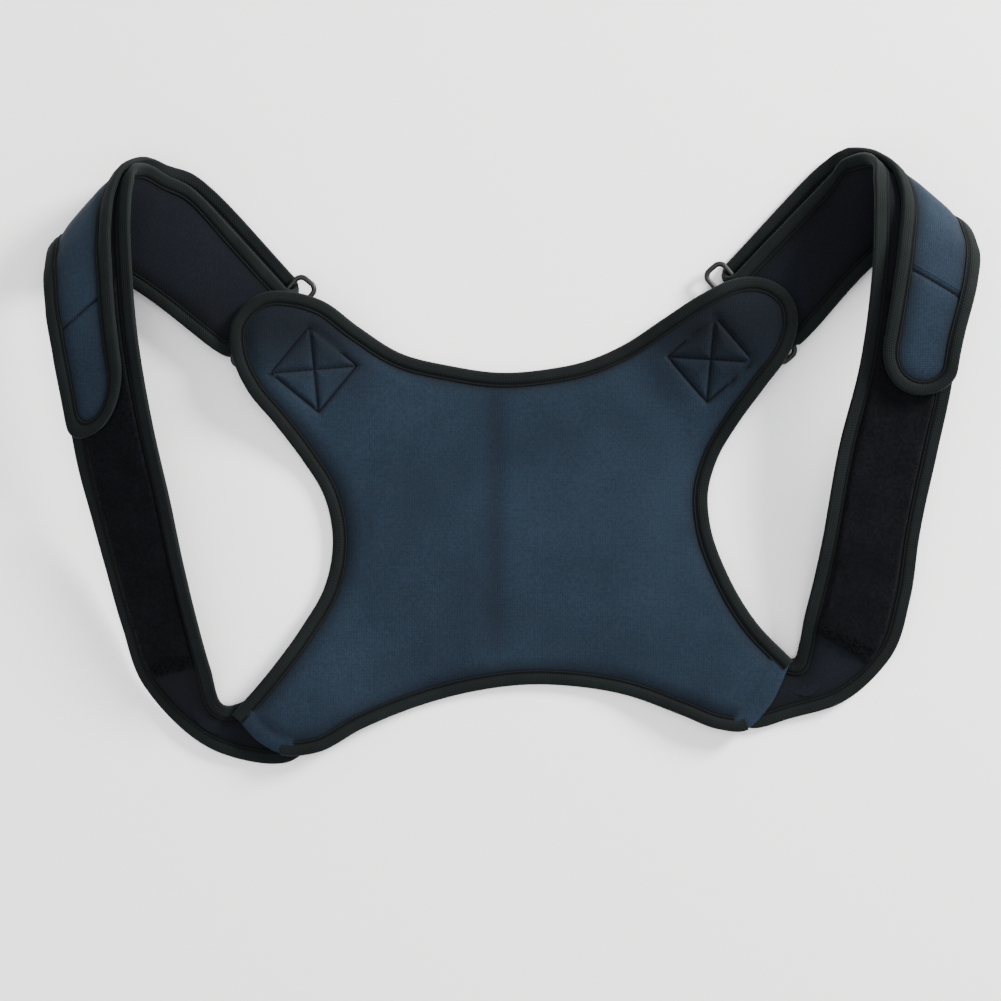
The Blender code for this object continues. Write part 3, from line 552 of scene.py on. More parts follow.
def knitted(name, ground, worn, rough=0.86, sheen=0.08):
    """Nylon jersey laminated on foam: a fine matte knit with a soft bloom at grazing angles.

    A real wale is 0.5 mm wide, too fine to show, so it is drawn at 1.5 mm and kept faint. Slow blotches are
    where the cloth has been handled.
    """
    material, tree, shader = new_material(name, rough=rough, sheen=sheen, sheen_rough=0.45, specular=0.12,
                                          sheen_tint=(0.55, 0.68, 0.85, 1))
    spot = add_node(tree, "ShaderNodeTexCoord")
    wales = add_node(tree, "ShaderNodeTexWave", {"bands_direction": "X", "wave_profile": "SIN"}, {
        "Vector": spot.outputs["UV"], "Scale": bands_per_metre(WALE), "Distortion": 0.8, "Detail": 1.0})
    courses = add_node(tree, "ShaderNodeTexWave", {"bands_direction": "Y", "wave_profile": "SIN"}, {
        "Vector": spot.outputs["UV"], "Scale": bands_per_metre(COURSE), "Distortion": 0.8, "Detail": 1.0})
    knit = add_node(tree, "ShaderNodeMath", {"operation": "MULTIPLY"}, {
        0: wales.outputs["Fac"], 1: courses.outputs["Fac"]})
    blotch = add_node(tree, "ShaderNodeTexNoise", {}, {
        "Vector": spot.outputs["Object"], "Scale": 14.0, "Detail": 5.0, "Roughness": 0.55})
    speck = add_node(tree, "ShaderNodeTexNoise", {}, {
        "Vector": spot.outputs["Object"], "Scale": 620.0, "Detail": 2.0, "Roughness": 0.6})
    wear = ranged(tree, blotch.outputs["Fac"], 0.0, 0.75, 0.38, 0.70)
    cloth = mixed(tree, wear, ground, worn)
    grain = ranged(tree, speck.outputs["Fac"], 0.80, 1.22, 0.3, 0.7)
    cloth = mixed(tree, 1.0, cloth, grain, "MULTIPLY")
    cloth = mixed(tree, 1.0, cloth, ranged(tree, knit.outputs[0], 0.90, 1.10), "MULTIPLY")
    # Painted shade from the mesh's shade attribute, down to 15% in the deepest ditch.
    cloth = mixed(tree, 1.0, cloth, painted_shade_factor(tree, 0.15), "MULTIPLY")
    tree.links.new(cloth, shader.inputs["Base Color"])
    height = add_node(tree, "ShaderNodeMath", {"operation": "ADD"}, {
        0: knit.outputs[0], 1: ranged(tree, speck.outputs["Fac"], 0.0, 0.8)})
    bump = add_node(tree, "ShaderNodeBump", {}, {
        "Height": height.outputs[0], "Distance": 0.16 * MM, "Strength": 0.6})
    tree.links.new(bump.outputs[0], shader.inputs["Normal"])
    return material


def ribbed_tape(name, ground, rib):
    """Folded knit stretch binding: dull, with fine ribs along it and slack weft across it.

    Ribs are about 0.6 mm apart on the real tape and are drawn at 1.2 mm.
    """
    material, tree, shader = new_material(name, rough=0.78, sheen=0.03, sheen_rough=0.5, specular=0.10,
                                          sheen_tint=(0.75, 0.85, 0.85, 1))
    spot = add_node(tree, "ShaderNodeTexCoord")
    ribs = add_node(tree, "ShaderNodeTexWave", {"bands_direction": "X"}, {
        "Vector": spot.outputs["UV"], "Scale": bands_per_metre(RIB), "Distortion": 0.5, "Detail": 1.0})
    weft = add_node(tree, "ShaderNodeTexWave", {"bands_direction": "Y"}, {
        "Vector": spot.outputs["UV"], "Scale": bands_per_metre(WEFT), "Distortion": 1.0, "Detail": 1.0})
    blotch = add_node(tree, "ShaderNodeTexNoise", {}, {
        "Vector": spot.outputs["Object"], "Scale": 45.0, "Detail": 4.0, "Roughness": 0.6})
    cloth = mixed(tree, ranged(tree, ribs.outputs["Fac"], 0.15, 0.85), ground, rib)
    cloth = mixed(tree, 1.0, cloth, ranged(tree, blotch.outputs["Fac"], 0.72, 1.28, 0.3, 0.7), "MULTIPLY")
    # Painted shade at the tape's seam, down to 30%.
    cloth = mixed(tree, 1.0, cloth, painted_shade_factor(tree, 0.3), "MULTIPLY")
    tree.links.new(cloth, shader.inputs["Base Color"])
    height = add_node(tree, "ShaderNodeMath", {"operation": "ADD"}, {
        0: ribs.outputs["Fac"], 1: weft.outputs["Fac"]})
    bump = add_node(tree, "ShaderNodeBump", {}, {
        "Height": height.outputs[0], "Distance": 0.15 * MM, "Strength": 0.5})
    tree.links.new(bump.outputs[0], shader.inputs["Normal"])
    return material


def napped_pile(name, colour):
    """Loop tape: brushed nylon loops that swallow light and show as a mottled nap, in tufts 2 mm across."""
    material, tree, shader = new_material(name, rough=0.95, sheen=0.03, sheen_rough=0.4, specular=0.08)
    spot = add_node(tree, "ShaderNodeTexCoord")
    tuft = add_node(tree, "ShaderNodeTexNoise", {}, {
        "Vector": spot.outputs["Object"], "Scale": 480.0, "Detail": 3.0, "Roughness": 0.7})
    patch = add_node(tree, "ShaderNodeTexNoise", {}, {
        "Vector": spot.outputs["Object"], "Scale": 60.0, "Detail": 2.0, "Roughness": 0.5})
    shade = mixed(tree, 1.0, colour, ranged(tree, tuft.outputs["Fac"], 0.45, 1.9, 0.3, 0.7), "MULTIPLY")
    shade = mixed(tree, 1.0, shade, ranged(tree, patch.outputs["Fac"], 0.75, 1.3, 0.3, 0.7), "MULTIPLY")
    tree.links.new(shade, shader.inputs["Base Color"])
    bump = add_node(tree, "ShaderNodeBump", {}, {
        "Height": tuft.outputs["Fac"], "Distance": 0.6 * MM, "Strength": 0.8})
    tree.links.new(bump.outputs[0], shader.inputs["Normal"])
    return material


def moulded_plastic(name, colour, rough, grit):
    """Moulded black plastic with a satin skin: an even colour with a fine, soft texture from the mould."""
    material, tree, shader = new_material(name, rough=rough, ior=1.48, specular=0.3)
    spot = add_node(tree, "ShaderNodeTexCoord")
    skin = add_node(tree, "ShaderNodeTexNoise", {}, {
        "Vector": spot.outputs["Object"], "Scale": 1 / grit, "Detail": 2.0})
    shade = mixed(tree, 1.0, colour, ranged(tree, skin.outputs["Fac"], 0.85, 1.2, 0.3, 0.7), "MULTIPLY")
    tree.links.new(shade, shader.inputs["Base Color"])
    bump = add_node(tree, "ShaderNodeBump", {}, {
        "Height": skin.outputs["Fac"], "Distance": 0.05 * MM, "Strength": 0.4})
    tree.links.new(bump.outputs[0], shader.inputs["Normal"])
    return material


def woven_webbing(name, colour):
    """Polypropylene webbing in plain weave, its yarns 1.6 mm apart, faintly waxy."""
    material, tree, shader = new_material(name, rough=0.6, specular=0.4)
    spot = add_node(tree, "ShaderNodeTexCoord")
    weave = add_node(tree, "ShaderNodeTexChecker", {}, {
        "Vector": spot.outputs["UV"], "Scale": 1 / YARN, "Color1": (1, 1, 1, 1), "Color2": (0, 0, 0, 1)})
    yarn = add_node(tree, "ShaderNodeTexWave", {"bands_direction": "DIAGONAL"}, {
        "Vector": spot.outputs["UV"], "Scale": bands_per_metre(YARN_TWIST), "Distortion": 0.6})
    shade = mixed(tree, 1.0, colour, ranged(tree, weave.outputs["Fac"], 0.8, 1.5), "MULTIPLY")
    tree.links.new(shade, shader.inputs["Base Color"])
    height = add_node(tree, "ShaderNodeMath", {"operation": "ADD"}, {
        0: weave.outputs["Fac"], 1: yarn.outputs["Fac"]})
    bump = add_node(tree, "ShaderNodeBump", {}, {
        "Height": height.outputs[0], "Distance": 0.2 * MM, "Strength": 0.5})
    tree.links.new(bump.outputs[0], shader.inputs["Normal"])
    return material


def bonded_thread(name, colour):
    """Bonded polyester thread: dark and a little glossy, with a twist of about 0.5 mm."""
    material, tree, shader = new_material(name, rough=0.6, specular=0.08)
    spot = add_node(tree, "ShaderNodeTexCoord")
    twist = add_node(tree, "ShaderNodeTexNoise", {}, {
        "Vector": spot.outputs["Object"], "Scale": 900.0, "Detail": 1.0})
    shade = mixed(tree, 1.0, colour, ranged(tree, twist.outputs["Fac"], 0.7, 1.4, 0.3, 0.7), "MULTIPLY")
    tree.links.new(shade, shader.inputs["Base Color"])
    return material


FINISHES = {
    "face": ("navy nylon jersey", lambda name, c: knitted(name, c.face[:], c.face_light[:])),
    # The single layer's darker jersey is painted shade.
    "strap": ("black nylon jersey", lambda name, c: knitted(name, c.strap[:], c.strap_light[:], 0.9, 0.04)),
    "lining": ("lining jersey", lambda name, c: knitted(name, c.lining[:], c.strap[:], 0.9, 0.04)),
    "tape": ("stretch binding", lambda name, c: ribbed_tape(name, c.tape[:], c.tape_rib[:])),
    "pile": ("brushed loop nylon", lambda name, c: napped_pile(name, c.pile[:])),
    "hook": ("moulded hook nylon", lambda name, c: moulded_plastic(name, c.hook[:], 0.45, HOOK_GRIT)),
    "webbing": ("polypropylene webbing", lambda name, c: woven_webbing(name, c.webbing[:])),
    "thread": ("bonded polyester thread", lambda name, c: bonded_thread(name, c.thread[:])),
    "ring": ("moulded acetal", lambda name, c: moulded_plastic(name, c.ring[:], 0.42, RING_GRIT)),
}


def finish_of(kind):
    """The material of one finish, made when it is first asked for."""
    name, make = FINISHES[kind]
    return bpy.data.materials.get(name) or make(name, bpy.context.scene.brace_colours)


# --------------------------------------------------------------------------------------- mesh building


def make_piece(name, points, faces, finishes, uvs=None, face_slots=None, shade=None):
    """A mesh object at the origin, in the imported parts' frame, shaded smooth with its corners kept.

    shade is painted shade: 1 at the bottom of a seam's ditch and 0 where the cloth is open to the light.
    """
    mesh = bpy.data.meshes.new(name)
    mesh.from_pydata((np.asarray(points) + OFFSET).tolist(), [], [list(face) for face in faces])
    for finish in finishes:
        mesh.materials.append(finish_of(finish))
    if face_slots is not None:
        mesh.polygons.foreach_set("material_index", np.asarray(face_slots, np.int32))
    if shade is not None:
        layer = mesh.attributes.new("painted_shade", "FLOAT", "POINT")
        layer.data.foreach_set("value", np.asarray(shade, np.float32))
    if uvs is not None:
        corners = np.empty(len(mesh.loops), np.int32)
        mesh.loops.foreach_get("vertex_index", corners)
        layer = mesh.uv_layers.new(name="cloth")
        layer.data.foreach_set("uv", np.asarray(uvs, np.float32)[corners].ravel())
    work = bmesh.new()
    work.from_mesh(mesh)
    bmesh.ops.recalc_face_normals(work, faces=work.faces)
    work.to_mesh(mesh)
    work.free()
    mesh.shade_smooth()
    mesh.set_sharp_from_angle(angle=math.radians(50))
    item = bpy.data.objects.new(name, mesh)
    bpy.context.scene.collection.objects.link(item)
    return item


def slab(low, high, uv):
    """Points, faces and UVs of a closed shell between two grids of places."""
    rows, cols = low.shape[:2]
    count = rows * cols
    corner = (np.arange(rows - 1)[:, None] * cols + np.arange(cols - 1)[None]).ravel()
    quads = np.stack([corner, corner + 1, corner + cols + 1, corner + cols], axis=1)
    rim = list(range(cols)) + [r * cols + cols - 1 for r in range(1, rows)]
    rim += [(rows - 1) * cols + c for c in range(cols - 2, -1, -1)]
    rim = np.array(rim + [r * cols for r in range(rows - 2, 0, -1)])
    after = np.roll(rim, -1)
    walls = np.stack([rim, after, after + count, rim + count], axis=1)
    faces = np.concatenate([quads[:, ::-1], quads + count, walls])
    flat = uv.reshape(-1, 2)
    return np.concatenate([low.reshape(-1, 3), high.reshape(-1, 3)]), faces, np.concatenate([flat, flat])


def flat_uv(across, run):
    """Flat coordinates of rows of places: how far across each place is, and how far along its row is."""
    across = np.asarray(across)
    across = np.broadcast_to(across, (len(run), across.shape[-1]))
    return np.stack([across, np.broadcast_to(run[:, None], across.shape)], axis=-1)


def sweep(rings, uv):
    """Points, faces and UVs of a closed solid through rings of places, with flat ends."""
    rows, count = rings.shape[:2]
    start = (np.arange(rows - 1)[:, None] * count + np.arange(count)[None]).ravel()
    after = (np.arange(rows - 1)[:, None] * count + (np.arange(count)[None] + 1) % count).ravel()
    faces = np.stack([start, after, after + count, start + count], axis=1).tolist()
    faces += [list(range(count))[::-1], list(range((rows - 1) * count, rows * count))]
    return rings.reshape(-1, 3), faces, uv.reshape(-1, 2)


def ripple(point, scale, seed=0.0):
    """A gentle unevenness from -1 to 1 that repeats each time the script runs."""
    x, y, z = point
    return noise.noise(Vector((x * scale + seed, y * scale - seed, z * scale + 2 * seed)))


def foam_out(inset, puff):
    """Half thickness of the foam at a distance in from the edge: thin under the tape, full past the seam."""
    groove = THIN + 0.1 * MM
    return np.where(inset < TAPE_WIDE + 0.1 * MM, THIN, groove + (HALF + puff - groove) * smooth_step(
        (inset - TAPE_WIDE - 0.3 * MM) / (8 * MM)) ** 0.6)


def dent(distance, shape):
    """How far the cloth is pulled in, at a distance from the line that pulls it."""
    deep, reach = shape
    return deep * np.exp(-((distance / reach) ** 2))


def ditch_beside_tape(depth):
    """How deep in the tape's ditch the cloth is, at a distance in from the edge, used as painted shade."""
    away = np.maximum(depth - TAPE_WIDE - 0.3 * MM, 0)
    return np.maximum(np.exp(-(away / (1.3 * MM)) ** 2), 0.45 * np.exp(-(away / (5 * MM)) ** 2))


def seam_on_tape(profile, seam_in):
    """How deep in the seam's ditch each point of a tape's profile is, used as painted shade."""
    across = np.array([point[0] for point in profile])
    return np.exp(-((across - (TAPE_WIDE - seam_in)) / (0.8 * MM)) ** 2)


def round_over(steps):
    """The tape's round edge: in from the edge, and the share of its half height kept there."""
    angles = [math.pi / 2 * step / TAPE_ROUND_STEPS for step in steps]
    return [(TAPE_ROUND * (1 - math.sin(angle)), math.cos(angle) ** 0.8) for angle in angles]


def tape_profile(dome, seam_in):
    """The edge tape round an edge, as (in from the edge, out from the middle), for both its faces."""
    top = EDGE_HALF + dome
    outer = [(TAPE_WIDE, THIN + 0.25 * MM), (TAPE_WIDE - 0.25 * MM, THIN + 0.6 * MM),
             (TAPE_WIDE - seam_in + 0.4 * MM, THIN + 0.6 * MM), (TAPE_WIDE - seam_in, THIN + 0.35 * MM),
             (TAPE_WIDE - seam_in - 0.5 * MM, THIN + 0.65 * MM),
             (TAPE_WIDE - seam_in - 1.4 * MM, top - 0.12 * MM),
             (TAPE_WIDE * 0.52, top), (TAPE_WIDE * 0.36, top - 0.05 * MM)]
    outer += [(s, top * kept) for s, kept in round_over(range(1, TAPE_ROUND_STEPS))]
    outer.append((0.0, 0.0))
    folded = outer + [(s, -h) for s, h in reversed(outer[:-1])]
    inside = [(TAPE_WIDE - 0.1 * MM, -THIN - 0.05 * MM), (TAPE_THICK + 0.1 * MM, -THIN - 0.05 * MM),
              (TAPE_THICK + 0.1 * MM, THIN + 0.05 * MM), (TAPE_WIDE - 0.1 * MM, THIN + 0.05 * MM)]
    return folded + inside


def seam_out(seam_in):
    """Where the tape's seam runs: in from the edge, and out from the middle."""
    return TAPE_WIDE - seam_in, THIN + 0.35 * MM


def bends_at_fold(item, strap):
    """Bakes the piece's place into its mesh. The fold line between the panel and the strap is worked out,
    but the piece is not bent there.
    """
    top = strap.at(strap.hinge_top, FOLD_TOP_SHARE, 0)[0] + OFFSET
    low = strap.at(strap.hinge_low, FOLD_LOW_SHARE, 0)[0] + OFFSET
    line = unit((low - top)[:2])
    away = np.array([line[1], -line[0]])
    away = away * np.sign(away[0]) * SIDES[strap.side]
    start = np.array([*((top + low) / 2)[:2], 0.0])
    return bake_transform(item)


def bends_at_tab(item, strap):
    """Bakes the piece's place into its mesh. The line where the tab starts to peel from the strap is worked
    out, but the piece is not bent there.
    """
    start = strap.at(strap.tab_start, 0.5, strap.layer(strap.tab_start))[0]
    a, b, da, db = strap.edges(strap.tab_start)
    along = unit(da + db)
    ruling = unit(b - a)
    away = unit(along - ruling * (along @ ruling))
    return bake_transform(item)


# ---------------------------------------------------------------------------------------------- straps


def make_strap_foam(strap, sizes):
    """The one length of neoprene: sewn end, band, ring leg, round the ring and back to the tab."""
    near = np.array(EDGE_INSETS)
    shares = np.linspace(0, 1, 9)[1:-1]
    lows, highs, widths, slots, shades, spine = [], [], [], [], [], []
    rows = strap.rows()
    for place, t, insets, doubled in rows:
        by_inner = strap.from_inner(t, near + insets[0])
        by_outer = strap.from_outer(t, near[::-1] + insets[1])
        between = by_inner[-1] + (by_outer[0] - by_inner[-1]) * shares
        v = np.concatenate([by_inner, between, by_outer])
        depth = np.concatenate([near, np.full(len(shares), OPEN_CLOTH), near[::-1]])
        out = foam_out(depth, sizes.strap_puff)
        rest = np.minimum(foam_out(depth, 0.0), HALF)
        centre = place(v, np.zeros(len(v)))
        wave = np.array([ripple(point, 32) for point in centre]) * STRAP_WAVE * (depth > TAPE_WIDE)
        highs.append(place(v, out + wave))
        lows.append(place(v, -rest))
        spine.append(centre[len(v) // 2])
        widths.append(lengths_of(centre))
        # The single layer takes the darker strap jersey and the doubled end the face jersey; the darker tone
        # is painted shade.
        slots.append(1 if doubled else 0)
        shades.append(ditch_beside_tape(depth))
    run = lengths_of(np.array(spine))
    points, faces, uv = slab(np.array(lows), np.array(highs), flat_uv(widths, run))
    shade = np.tile(np.array(shades).ravel(), 2)
    face_rows = faces[:, 0] % (len(rows) * len(v)) // len(v)
    side = strap.side
    item = make_piece(f"{side}_strap_neoprene", points, faces, ["strap", "face"], uv,
                      np.array(slots)[face_rows], shade)
    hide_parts(f"{side}_strap_ring_end", f"{side}_strap_band", f"{side}_strap_doubled",
                f"{side}_strap_anchor")
    bends_at_fold(item, strap)
    return item, run[-1]


def tape_rings(strap, rows, edge, profile):
    """The tape's section at each row, and its flat coordinates."""
    s, h = np.array(profile).T
    rings, spine = [], []
    for place, t, insets, _ in rows:
        v = strap.from_edge(edge, t, s, insets)
        here = place(v, h)[len(s) // 3]
        spine.append(here)
        swell = 1 + 0.10 * ripple(here, 90, 3.0)
        rings.append(place(v, np.where(h > 0, h * swell, np.maximum(h, -EDGE_HALF))))
    return np.array(rings), flat_uv(lengths_of(np.array(profile)), lengths_of(np.array(spine)))


def make_strap_tapes(strap, sizes):
    """The tapes that bind both edges of the strap, from its sewn end to the tab."""
    profile = tape_profile(sizes.tape_dome, sizes.seam_in)
    side = strap.side
    made = []
    for edge in ("inner", "outer"):
        points, faces, uv = sweep(*tape_rings(strap, strap.rows(), edge, profile))
        shade = np.tile(seam_on_tape(profile, sizes.seam_in), len(points) // len(profile))
        item = make_piece(f"{side}_strap_binding_{edge}", points, faces, ["tape"], uv, shade=shade)
        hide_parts(f"{side}_ring_end_binding_{edge}", f"{side}_band_binding_{edge}",
                    f"{side}_doubled_binding_{edge}", f"{side}_anchor_binding_{edge}")
        bends_at_fold(item, strap)
        made.append(item)
    return made


# ------------------------------------------------------------------------------------------------ tabs


def tab_route(strap, start):
    """The steps of the way round the tab: (angle gone round the tip's quarter, coming back, length)."""
    end = strap.tab_tip - TAB_ROUND
    sewn = min(start + max(CROSS_LINE[strap.side]) + 0.004, end)
    there = [(0.0, t) for t in np.linspace(start, sewn, round((sewn - start) / MM) + 1)[:-1]]
    there += [(0.0, t) for t in np.linspace(sewn, end, max(2, round((end - sewn) / ROW_STEP) + 1))]
    there += [(math.pi / 2 * k / 16, 0.0) for k in range(1, 16)]
    route = [(bend, False, length) for bend, length in there] + [(math.pi / 2, False, 0.0)]
    return route + [(bend, True, length) for bend, length in reversed(there)]


def tab_spot(strap, inset, bend, back, length):
    """A spot (along, across) of the tab's outline moved in by an inset."""
    t = length if bend == 0 else strap.tab_tip - TAB_ROUND + (TAB_ROUND - inset) * math.sin(bend)
    inner_in, outer_in = strap.insets(t, True)
    inner = strap.from_inner(t, inner_in + inset)
    outer = strap.from_outer(t, outer_in + inset)
    half = (outer - inner) / 2 * math.cos(bend)
    return t, (inner + outer) / 2 + (half if back else -half)


def cross_line(strap, t, v):
    """Where along the strap the line sewn across the tab runs, at a place across it."""
    inner_in, outer_in = strap.insets(t, True)
    inner, outer = strap.from_inner(t, inner_in), strap.from_outer(t, outer_in)
    inner_end, outer_end = CROSS_LINE[strap.side]
    return strap.tab_start + inner_end + (outer_end - inner_end) * (v - inner) / (outer - inner)


def tab_loop(strap, route, inset, out):
    """Places round the tab, in from its outline and out from its middle."""
    points = []
    for bend, back, length in route:
        t, v = tab_spot(strap, inset, bend, back, length)
        points.append(strap.at(t, v, strap.layer(t) + out)[0])
    return np.array(points)


def nested_faces(loops, count):
    """Faces of nested open loops, the innermost filled across."""
    faces = []
    for ring in range(loops - 1):
        for k in range(count - 1):
            a = ring * count + k
            faces.append([a, a + 1, a + count + 1, a + count])
    last = (loops - 1) * count
    for k in range(count // 2):
        corners = [last + k, last + k + 1, last + count - 2 - k, last + count - 1 - k]
        faces.append(corners if corners[1] != corners[2] else corners[:2] + corners[3:])
    return faces


def closed_between(low, high, faces):
    """Faces of a closed solid between two copies of one surface."""
    count = len(low)
    directed = {(a, b) for face in faces for a, b in zip(face, list(face[1:]) + [face[0]])}
    border = [(a, b) for a, b in directed if (b, a) not in directed]
    solid = [list(face)[::-1] for face in faces] + [[k + count for k in face] for face in faces]
    solid += [[a, b, b + count, a + count] for a, b in sorted(border)]
    return np.concatenate([low, high]), solid


def cloth_uv(points):
    """Flat coordinates, in metres, for a piece that lies mostly flat."""
    return np.asarray(points)[:, :2]


def make_tab_foam(strap, sizes):
    """The tab's foam, pulled down along the line sewn across it."""
    route = tab_route(strap, strap.tab_start)
    lows, highs, shades = [], [], []
    for inset in TAB_INSETS:
        out = foam_out(np.array([inset]), sizes.strap_puff)[0]
        rest = min(foam_out(np.array([inset]), 0.0)[0], HALF)
        loop = tab_loop(strap, route, inset, 0.0)
        wave = np.array([ripple(point, 32) for point in loop]) * STRAP_WAVE * (inset > TAPE_WIDE)
        for k, step in enumerate(route):
            t, v = tab_spot(strap, inset, *step)
            off = t - cross_line(strap, t, v)
            pulled = (dent(off, CROSS_DENT) + dent(off, CROSS_HOLLOW)) * (inset > TAPE_WIDE)
            loop[k] = strap.at(t, v, strap.layer(t) + out + wave[k] - pulled)[0]
            # Painted shade beside the tape and along the line sewn across the tab.
            shades.append(max(float(ditch_beside_tape(inset)), math.exp(-((off / (0.9 * MM)) ** 2))))
        highs.append(loop)
        lows.append(tab_loop(strap, route, inset, -rest))
    faces = nested_faces(len(TAB_INSETS), len(route))
    points, solid = closed_between(np.concatenate(lows), np.concatenate(highs), faces)
    foam = make_piece(f"{strap.side}_tab_neoprene", points, solid, ["face"], cloth_uv(points),
                      shade=shades * 2)
    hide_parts(f"{strap.side}_tab")
    return foam


def make_tab_tape(strap, sizes):
    """The edge tape round the tab."""
    profile = tape_profile(sizes.tape_dome, sizes.seam_in)
    rings = []
    for step in tab_route(strap, strap.tab_start):
        spots = [tab_spot(strap, s, *step) for s, _ in profile]
        rings.append([strap.at(t, v, strap.layer(t) + h)[0] for (t, v), (_, h) in zip(spots, profile)])
    rings = np.array(rings)
    uv = flat_uv(lengths_of(np.array(profile)), lengths_of(rings[:, TAPE_CROWN]))
    points, solid, uv = sweep(rings, uv)
    shade = np.tile(seam_on_tape(profile, sizes.seam_in), len(rings))
    tape = make_piece(f"{strap.side}_tab_edge_tape", points, solid, ["tape"], uv, shade=shade)
    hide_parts(f"{strap.side}_tab_binding")
    return tape


def make_hook_patch(strap):
    """The patch beneath the tab that carries its hooks."""
    route = tab_route(strap, strap.tab_start + HOOK_SETBACK)
    margin = TAPE_WIDE + HOOK_MARGIN
    base = -HALF - GAP
    loops = [(margin, base - 0.7 * MM), (margin + 1.2 * MM, base - HOOK_BASE),
             (margin + 6 * MM, base - HOOK_BASE)]
    upper = np.concatenate([tab_loop(strap, route, s, base) for s, _ in loops])
    lower = np.concatenate([tab_loop(strap, route, s, h) for s, h in loops])
    points, solid = closed_between(lower, upper, nested_faces(len(loops), len(route)))
    patch = make_piece(f"{strap.side}_hook_backing", points, solid, ["hook"], cloth_uv(points))
    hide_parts(f"{strap.side}_hook_patch")
    return patch


def make_tab(strap, sizes):
    """The rounded end of the strap: foam, edge tape, and hook patch beneath."""
    pieces = make_tab_foam(strap, sizes), make_tab_tape(strap, sizes), make_hook_patch(strap)
    for item in pieces:
        bends_at_tab(item, strap)
    return pieces


def make_hooks(strap, sizes, pin):
    """Moulded hooks standing on the hook patch's underside."""
    origins, along, normals = [], [], []
    margin = TAPE_WIDE + HOOK_MARGIN + 1.2 * MM
    start = strap.tab_start + HOOK_SETBACK + 1.5 * MM
    for t in np.arange(start, strap.tab_tip - 4 * MM, sizes.hook_pitch):
        inner_in, outer_in = strap.insets(t, True)
        a = strap.from_inner(t, inner_in + margin)
        b = strap.from_outer(t, outer_in + margin)
        past = max(0.0, t - (strap.tab_tip - TAB_ROUND))
        reach = TAB_ROUND - margin
        if past >= reach:
            continue
        keep = math.sqrt(max(0.0, 1 - (past / reach) ** 2))
        middle, half = (a + b) / 2, (b - a) / 2 * keep
        wide = half * 2 * np.linalg.norm(np.subtract(*strap.edges(t)[:2]))
        count = max(2, round(wide / sizes.hook_pitch))
        v = np.linspace(middle - half, middle + half, count)
        out = strap.layer(t) - HALF - GAP - HOOK_BASE
        spots = strap.at(t, v, np.full(count, out))
        below = strap.at(t, v, np.full(count, out - MM))
        origins += list(spots + (below - spots) * 0.25)
        normals += list(strap.edges(t)[3][None].repeat(count, axis=0))
        along += list(below - spots)
    item = place_copies(f"{strap.side}_hooks", pin, origins, along, normals, "hook")
    bends_at_tab(item, strap)
    return item


# ------------------------------------------------------------------------------------------ loop tapes


def pile_span(strap, t):
    """Both sides of the loop tape, across the strap."""
    a = strap.from_inner(t, TAPE_WIDE + 2 * GAP)
    b = strap.from_outer(t, TAPE_WIDE + 2 * GAP)
    half = strap.from_inner(t, PILE_WIDE / 2)
    return max(a, 0.5 - half), min(b, 0.5 + half)


def make_pile(strap, sizes):
    """The loop tape's backing, with a rounded, slightly lumpy nap."""
    side = strap.side
    start, end = strap.along(PILE_FROM), strap.along(PILE_TO[side])
    lows, highs = [], []
    shares = np.concatenate([[0, 0.012, 0.035], np.linspace(0.07, 0.93, 20), [0.965, 0.988, 1]])
    lengths = np.linspace(start, end, round((end - start) / ROW_STEP) + 1)
    for t in lengths:
        a, b = pile_span(strap, t)
        v = a + (b - a) * shares
        low, high = HALF + GAP, HALF + GAP + PILE_THICK - 0.4 * MM
        side_drop = np.clip(np.minimum(shares, 1 - shares) / 0.035, 0, 1) ** 0.5
        end_drop = min(1.0, min(t - start, end - t) / (1.5 * MM) + 0.15) ** 0.5
        centre = strap.at(t, v, np.full(len(v), high))
        lump = np.array([ripple(point, 220) for point in centre]) * 0.18 * MM
        lows.append(strap.at(t, v, np.full(len(v), low)))
        highs.append(strap.at(t, v, low + (high - low + lump) * np.maximum(0.25, side_drop * end_drop)))
    points, faces, uv = slab(np.array(lows), np.array(highs), flat_uv(shares * PILE_WIDE, lengths))
    item = make_piece(f"{side}_loop_tape", points, faces, ["pile"], uv)
    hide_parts(f"{side}_pile_tape")
    bends_at_fold(item, strap)
    return item, lengths[-1] - lengths[0]


